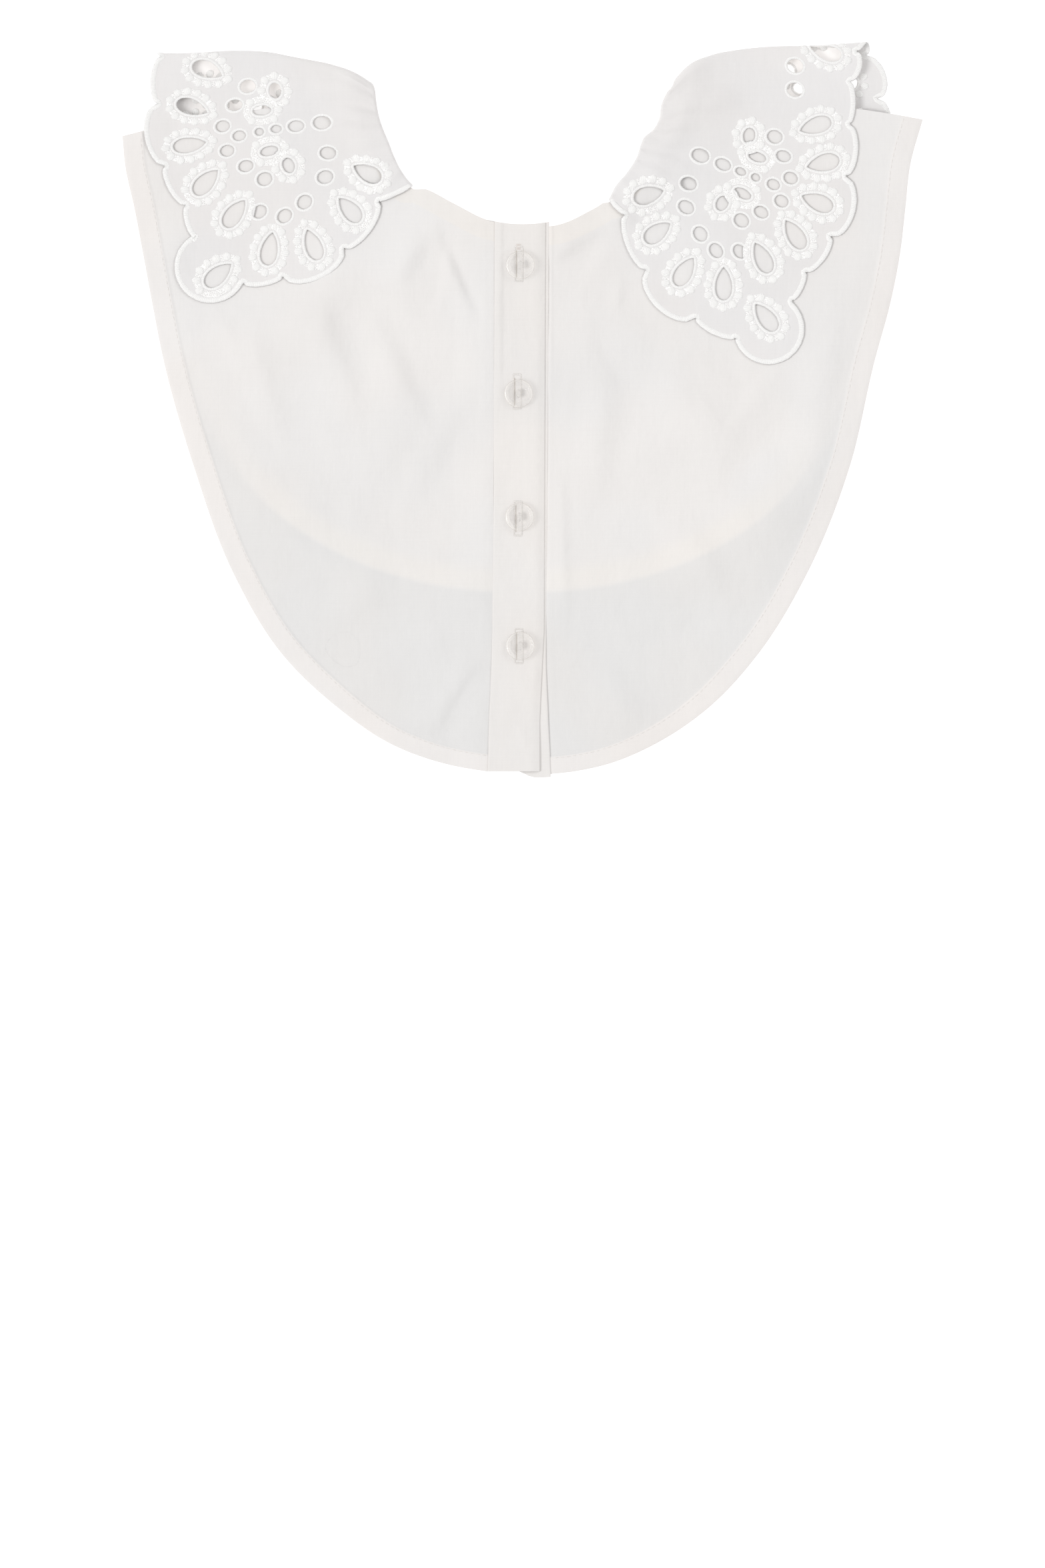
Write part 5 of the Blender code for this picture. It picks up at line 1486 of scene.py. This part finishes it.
flat, faces = fineTriangles(outline, holes, collar["pitch"], closePoints())
print("collar cut", len(faces))
# Where the painted glow lies: near the fold's bearing and inside its reach
reach, bearing = np.hypot(*flat.T), np.abs(np.degrees(np.arctan2(flat[:, 0], -flat[:, 1])))
fromFold = np.abs(bearing - collar["paintedGlowBearing"]) * np.radians(1) * reach
paintedFoldGlow = fade(fromFold, *collar["paintedGlowAlong"]) * fade(reach, *collar["paintedGlowOut"])
collarCloth = makeLaidCloth("collarCloth", flat, faces, collar["thin"], layFlat, collarVoile,
                            dict.fromkeys(("behind", "hemIn", "neckOut"), bib["far"]) | {"paintedFoldGlow": paintedFoldGlow})

loops = np.array(holes)
width, height, lap = collar["rim"]
rims = movedOut(loops, width / 2 - lap)
eyeletRims = satinBars("eyeletRims", rims, True, width, height, layFlat, satin, ragged=collar["rimRagged"])
ringed = np.array([kind in collar["knots"] for kind, _ in found])
width, height, lap = collar["web"]
webs = movedOut(loops[ringed], collar["rim"][0] + width / 2 - lap)
laceWebs = satinBars("laceWebs", webs, True, width, height, layFlat, net)
width, height, lap = collar["border"]
edgePath = evenly(scalloped, collar["borderSteps"])
middle = len(edgePath) // 2
inwards = 1 if inside(movedSideways(edgePath, 1.0)[middle:middle + 1], outline)[0] else -1
border = movedSideways(edgePath, inwards * (width / 2 - lap))
scallopBorder = satinBars("scallopBorder", border[None], False, width, height, layFlat, satin,
                          taper=collar["borderTaper"], ragged=collar["borderRagged"])
knotCentres, knotHeadings = knotPlaces(found, evenly(scalloped, collar["knotEdgeSteps"]))
knots = smallDomes("embroideryKnots", knotCentres, knotHeadings, collar["knotSize"], layFlat, satin)
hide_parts("collar")
print("collar made, knots", len(knotCentres))


# Buttons and buttonholes

button = {
    # Middle of each button, and how far above it the middle of its buttonhole lies
    "places": [(-0.9, 56.9, 0.6), (-1.6, 5.7, 0.9), (-1.2, -43.6, -0.5), (-0.9, -95.1, 0.0)],
    "diameter": 11.5,
    "thick": 2.4,
    # Turned outline: share of the radius and of the thickness
    "profile": [
        (0.0, 0.62), (0.30, 0.61), (0.56, 0.62), (0.64, 0.70), (0.70, 0.90), (0.77, 1.0), (0.86, 1.0),
        (0.94, 0.93), (0.99, 0.76), (1.0, 0.6), (0.97, 0.42), (0.88, 0.12), (0.80, 0.0), (0.4, 0.0),
        (0.0, 0.0),
    ],
    "steps": 56,
    "hole": 1.9,
    "holeOffset": 2.4,
    "holeSides": 24,
    "drill": 0.01,
    # Painted dark rings of refracted shade and painted glints of highlight: share of the radius, width and
    # strength
    "paintedShadeRings": [(0.99, 0.035, 1.0), (0.86, 0.03, 0.5), (0.62, 0.05, 0.6)],
    "glints": [(0.925, 0.035, 1.0), (0.7, 0.03, 0.25)],
    # Least strength of the painted glints, above and below
    "glintLow": 0.15,
    "cloud": (260.0, 2.0),
    # The clear body, the painted shade of its dark rings and the painted highlight of its glints
    "clear": (0.95, 0.93, 0.90, 1),
    "dark": (0.62, 0.56, 0.50, 1),
    "bright": (1.0, 0.99, 0.97, 1),
    # Roughness: how much the cloud adds, and its level
    "rough": (0.08, 0.06),
    # Alpha of the painted dark rings, the painted glints and the cloud, and its level
    "alpha": (0.22, 0.75, 0.04, 0.02),
    "refraction": 1.49,
    "coat": (0.6, 0.05),
}


# Clear plastic: see-through, less so in its painted dark rings of refracted shade, its
# painted glints of highlight and a faint cloud.
def plasticMaterial():
    looks = Looks("clear_button")
    cloud = looks.noise(looks.place(), *button["cloud"])
    edge, glint = looks.value("edge"), looks.value("glint")
    swing, level = button["rough"]
    dark, bright, clouded, least = button["alpha"]
    body = looks.mix(edge, button["clear"], button["dark"])
    looks.shade({
        "Base Color": looks.mix(glint, body, button["bright"]),
        "Roughness": cloud * swing + level,
        "Alpha": edge * dark + glint * bright + cloud * clouded + least,
        "IOR": button["refraction"],
        "Coat Weight": button["coat"][0],
        "Coat Roughness": button["coat"][1],
    })
    return looks.material


clearPlastic = plasticMaterial()


# A turned button: its outline carried round, with two drilled holes. Its painted rings of
# shade and highlight are sums of strength exp(-((share of the radius - place) / width)^2).
def makeButton(index):
    x, y, _ = button["places"][index]
    node = "button_%d" % (index + 1)
    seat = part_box(node)[0][2] / mm
    share, up = np.array(button["profile"]).T
    turn = np.linspace(0, 2 * math.pi, button["steps"], endpoint=False)[:, None]
    radius = share[1:-1] * button["diameter"] / 2
    ring = np.stack([radius * np.cos(turn), radius * np.sin(turn),
                     np.broadcast_to(up[1:-1] * button["thick"], (button["steps"], len(radius)))], axis=-1)
    poles = np.array([[0, 0, up[0] * button["thick"]], [0, 0, 0]])
    points = np.concatenate([ring.reshape(-1, 3), poles]) + [x, y, seat]
    steps, rows = ring.shape[:2]
    quads = gridFaces(steps, rows, aroundRows=True)[:, ::-1]
    around = np.arange(steps) * rows
    after = np.roll(around, -1)
    top = np.column_stack([around, after, np.full(steps, steps * rows)])
    foot = np.column_stack([after + rows - 1, around + rows - 1, np.full(steps, steps * rows + 1)])
    piece = makePiece("shirtButton_%d" % (index + 1), points, [quads, top, foot], clearPlastic)
    cutters = []
    for way in (-1, 1):
        middle = (x * mm, (y + way * button["holeOffset"]) * mm, seat * mm)
        bpy.ops.mesh.primitive_cylinder_add(vertices=button["holeSides"], radius=button["hole"] / 2 * mm,
                                            depth=button["drill"], location=middle)
        cutter = bpy.context.object
        drilled = piece.modifiers.new("hole", "BOOLEAN")
        drilled.operation = "DIFFERENCE"
        drilled.object = cutter
        cutters.append(cutter)
    evaluated = piece.evaluated_get(bpy.context.evaluated_depsgraph_get())
    cut = bpy.data.meshes.new_from_object(evaluated)
    piece.modifiers.clear()
    piece.data = cut
    for cutter in cutters:
        bpy.data.objects.remove(cutter, do_unlink=True)
    cut.set_sharp_from_angle(angle=sharpPast["button"])
    spots = np.empty(len(cut.vertices) * 3)
    cut.vertices.foreach_get("co", spots)
    away = (spots.reshape(-1, 3)[:, :2] / mm - [x, y]) / (button["diameter"] / 2)
    out = np.hypot(*away.T)
    sideways = (away[:, 0] / np.maximum(out, 1e-6)) ** 2
    # Painted light: the glints are strongest at the left and right of the rim
    low = button["glintLow"]
    for key, rings, share in (("edge", "paintedShadeRings", 1.0), ("glint", "glints", low + (1 - low) * sideways)):
        tone = sum(size * np.exp(-(((out - at) / wide) ** 2)) for at, wide, size in button[rings])
        cut.attributes.new(key, "FLOAT", "POINT").data.foreach_set("value", tone * share)
    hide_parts(node)
    return piece


buttons = [makeButton(index) for index in range(4)]

buttonhole = {
    "length": 13.7,
    "sides": (-2.1, 1.0),
    # Rails, end bars, the dark bar of painted shade in the slit, and the tack at the band's top: width and
    # height
    "rail": (0.7, 0.14),
    "end": (0.7, 0.14),
    "slit": (0.3, 0.1),
    "tack": (0.5, 0.12),
    "endPast": 0.3,
    "slitAcross": -1.45,
    "slitShare": 0.82,
    "tackMiddle": (-1.6, 64.3),
    "tackHalf": 1.0,
    "tackRows": (-0.9, -0.3, 0.3, 0.9),
    # Steps along the rails and slits, and across the bars
    "steps": (40, 12),
    "taper": 2,
    "slitTaper": 3,
    "shades": ((0.34, 0.30, 0.26, 1), (0.66, 0.61, 0.56, 1)),
    "shadeScale": 700.0,
    "shadeRough": 0.95,
}

thread = {
    # Place across the button, and share of the bar between the holes that it runs over
    "lines": [(-0.5, 0.8), (-0.16, 1.0), (0.2, 0.95), (0.54, 0.72)],
    "steps": 14,
    "pastHole": 0.55,
    "size": (0.46, 0.24),
    "taper": 2,
    # Level of the holes' edge, as a share of the thickness; height of the arch, and how far it is sunk
    "level": 0.62,
    "arch": 0.35,
    "sink": 0.2,
}


# Height above the band of a place on it, for what is sewn there.
def placeOnBand(plan, height):
    return raised(plan, bandFace(plan) + height)


# A straight path of even steps from one pair of places to another.
def straight(x, y, steps):
    return np.column_stack([np.linspace(*x, steps), np.linspace(*y, steps)])


# Bars of thread sewn on the band.
def sewOnBand(name, paths, kind, material, taper=buttonhole["taper"]):
    return satinBars(name, paths, False, *buttonhole[kind], placeOnBand, material, taper=taper)


rails, ends, slits = [], [], []
lengthwise, crosswise = buttonhole["steps"]
for x, y, above in button["places"]:
    middle, half = y + above, buttonhole["length"] / 2
    left, right = (x + side for side in buttonhole["sides"])
    for across in (left, right):
        rails.append(straight((across, across), (middle - half, middle + half), lengthwise))
    for end in (middle - half, middle + half):
        span = (left - buttonhole["endPast"], right + buttonhole["endPast"])
        ends.append(straight(span, (end, end), crosswise))
    across, half = x + buttonhole["slitAcross"], half * buttonhole["slitShare"]
    slits.append(straight((across, across), (middle - half, middle + half), lengthwise))
x, y = buttonhole["tackMiddle"]
span = (x - buttonhole["tackHalf"], x + buttonhole["tackHalf"])
tack = [straight(span, (y + row, y + row), crosswise) for row in buttonhole["tackRows"]]
buttonholes = sewOnBand("buttonholeRails", rails, "rail", sewing)
barTacks = sewOnBand("buttonholeEnds", ends, "end", sewing)
# A dark bar along each slit: painted shade where the cut opens
slitLooks = Looks("slit_shade")
shade = slitLooks.noise(slitLooks.place(), buttonhole["shadeScale"])
slitTone = slitLooks.mix(shade, *buttonhole["shades"])
slitLooks.shade({"Base Color": slitTone, "Roughness": buttonhole["shadeRough"]})
slitLine = sewOnBand("buttonholeSlitShade", slits, "slit", slitLooks.material, buttonhole["slitTaper"])
bandTack = sewOnBand("bandTack", tack, "tack", tanSatin)


# Sewing thread from one hole of a button to the other, arched as arch (1 - share^4)
# over the bar between them.
def makeThread(index):
    x, y, _ = button["places"][index]
    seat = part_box("button_%d" % (index + 1))[0][2] / mm
    level = seat + thread["level"] * button["thick"]
    reach = button["holeOffset"] - thread["pastHole"]
    lines = [straight((x + across, x + across), (y - reach * share, y + reach * share), thread["steps"])
             for across, share in thread["lines"]]

    def arched(plan, height):
        share = np.clip(np.abs(plan[..., 1] - y) / reach, 0, 1)
        return raised(plan, level + height + thread["arch"] * (1 - share ** 4) - thread["sink"])

    name = "buttonThread_%d" % (index + 1)
    return satinBars(name, lines, False, *thread["size"], arched, sewing, taper=thread["taper"])


threads = [makeThread(index) for index in range(4)]
print("buttons made")


# Hem stitching

stitch = {
    "pitch": 2.4,
    "size": (1.8, 0.3, 0.1),
    "spokes": 6,
    "in": 7.4,
    "bottomIn": 6.3,
    # Where each front's line starts across, beside the placket; points left out at the back's ends
    "start": {-1: -13.9, 1: 11.6},
    "backEnds": 6,
}


# Small stitches evenly along a path, headed along it, on the face that it lies on.
def hemStitches(name, path, face):
    length = np.hypot(*np.diff(path, axis=0).T).sum()
    path = evenly(path, max(4, round(length / stitch["pitch"])))
    piece = smallDomes(name, path[1:-1], heading(path)[1:-1], stitch["size"],
                       lambda plan, height: raised(plan, face(plan) + height), sewing, stitch["spokes"])
    return piece


# Stitches of a front's hem: its outline moved in, less where the hem narrows.
def frontStitches(side):
    hem = frontHem(side, stitch["start"][side])
    narrow = softFade(hem[:, 1], *bib["narrowHem"])
    amount = stitch["in"] + (stitch["bottomIn"] - stitch["in"]) * narrow
    line = movedSideways(hem, side * amount[:, None])
    name = "hemStitchesRight" if side < 0 else "hemStitchesLeft"
    return hemStitches(name, line, lambda plan: frontFace(plan, side))


# Stitches of the back's hem: its outline moved in.
def backStitches():
    line = movedSideways(backHem(), -stitch["in"])[stitch["backEnds"]:-stitch["backEnds"]]
    return hemStitches("hemStitchesBack", line, backFace)


frontSewing = {side: frontStitches(side) for side in (-1, 1)}
backSewing = backStitches()
print("stitching made")


# Floor, light and camera

studio = {
    "floor": (0.80, 0.80, 0.80, 1),
    "floorRough": 0.9,
    "floorShine": 0.1,
    "floorSize": 12,
    "floorDrop": 0.0002,
    "glow": (1, 1, 1, 1),
    "glowStrength": 0.5,
    "viewHeight": 0.6272,
    "viewCentre": (0.0, -0.15025),
    "distance": 4.0,
    "sensor": 36,
    "farthest": 50,
    "sky": 0.668,
    "skyColour": (1.0, 1.0, 1.0, 1),
    # Lights, turned to the middle: place, size and power
    "lights": {"key": ((-8.0, -1.6, 8.8), 4.8, 605.0), "fill": ((3.5, 2.0, 5.0), 3.3, 82.0)},
}

floorLooks = Looks("pale_floor")
floorLooks.shade({
    "Base Color": studio["floor"],
    "Roughness": studio["floorRough"],
    "Specular IOR Level": studio["floorShine"],
    "Emission Color": studio["glow"],
    "Emission Strength": studio["glowStrength"],
})
bpy.ops.mesh.primitive_plane_add(size=studio["floorSize"], location=(0, 0, -studio["floorDrop"]))
floor = bpy.context.object
floor.name = "floor"
floor.data.materials.append(floorLooks.material)

world = bpy.context.scene.world or bpy.data.worlds.new("studio")
bpy.context.scene.world = world
world.use_nodes = True
background = world.node_tree.nodes["Background"].inputs
background["Color"].default_value = studio["skyColour"]
background["Strength"].default_value = studio["sky"]

for name, (place, size, power) in studio["lights"].items():
    light = bpy.data.lights.new(name, "AREA")
    light.size = size
    light.energy = power
    holder = bpy.data.objects.new(name, light)
    bpy.context.scene.collection.objects.link(holder)
    holder.location = place
    holder.rotation_euler = (-Vector(place)).to_track_quat("-Z", "Y").to_euler()

camera = bpy.data.cameras.new("camera")
camera.sensor_width = studio["sensor"]
camera.lens = studio["sensor"] * studio["distance"] / studio["viewHeight"]
camera.clip_end = studio["farthest"]
cameraHolder = bpy.data.objects.new("camera", camera)
bpy.context.scene.collection.objects.link(cameraHolder)
cameraHolder.location = (*studio["viewCentre"], studio["distance"])
bpy.context.scene.camera = cameraHolder
bpy.context.scene.view_settings.view_transform = "Standard"

bpy.context.view_layer.update()
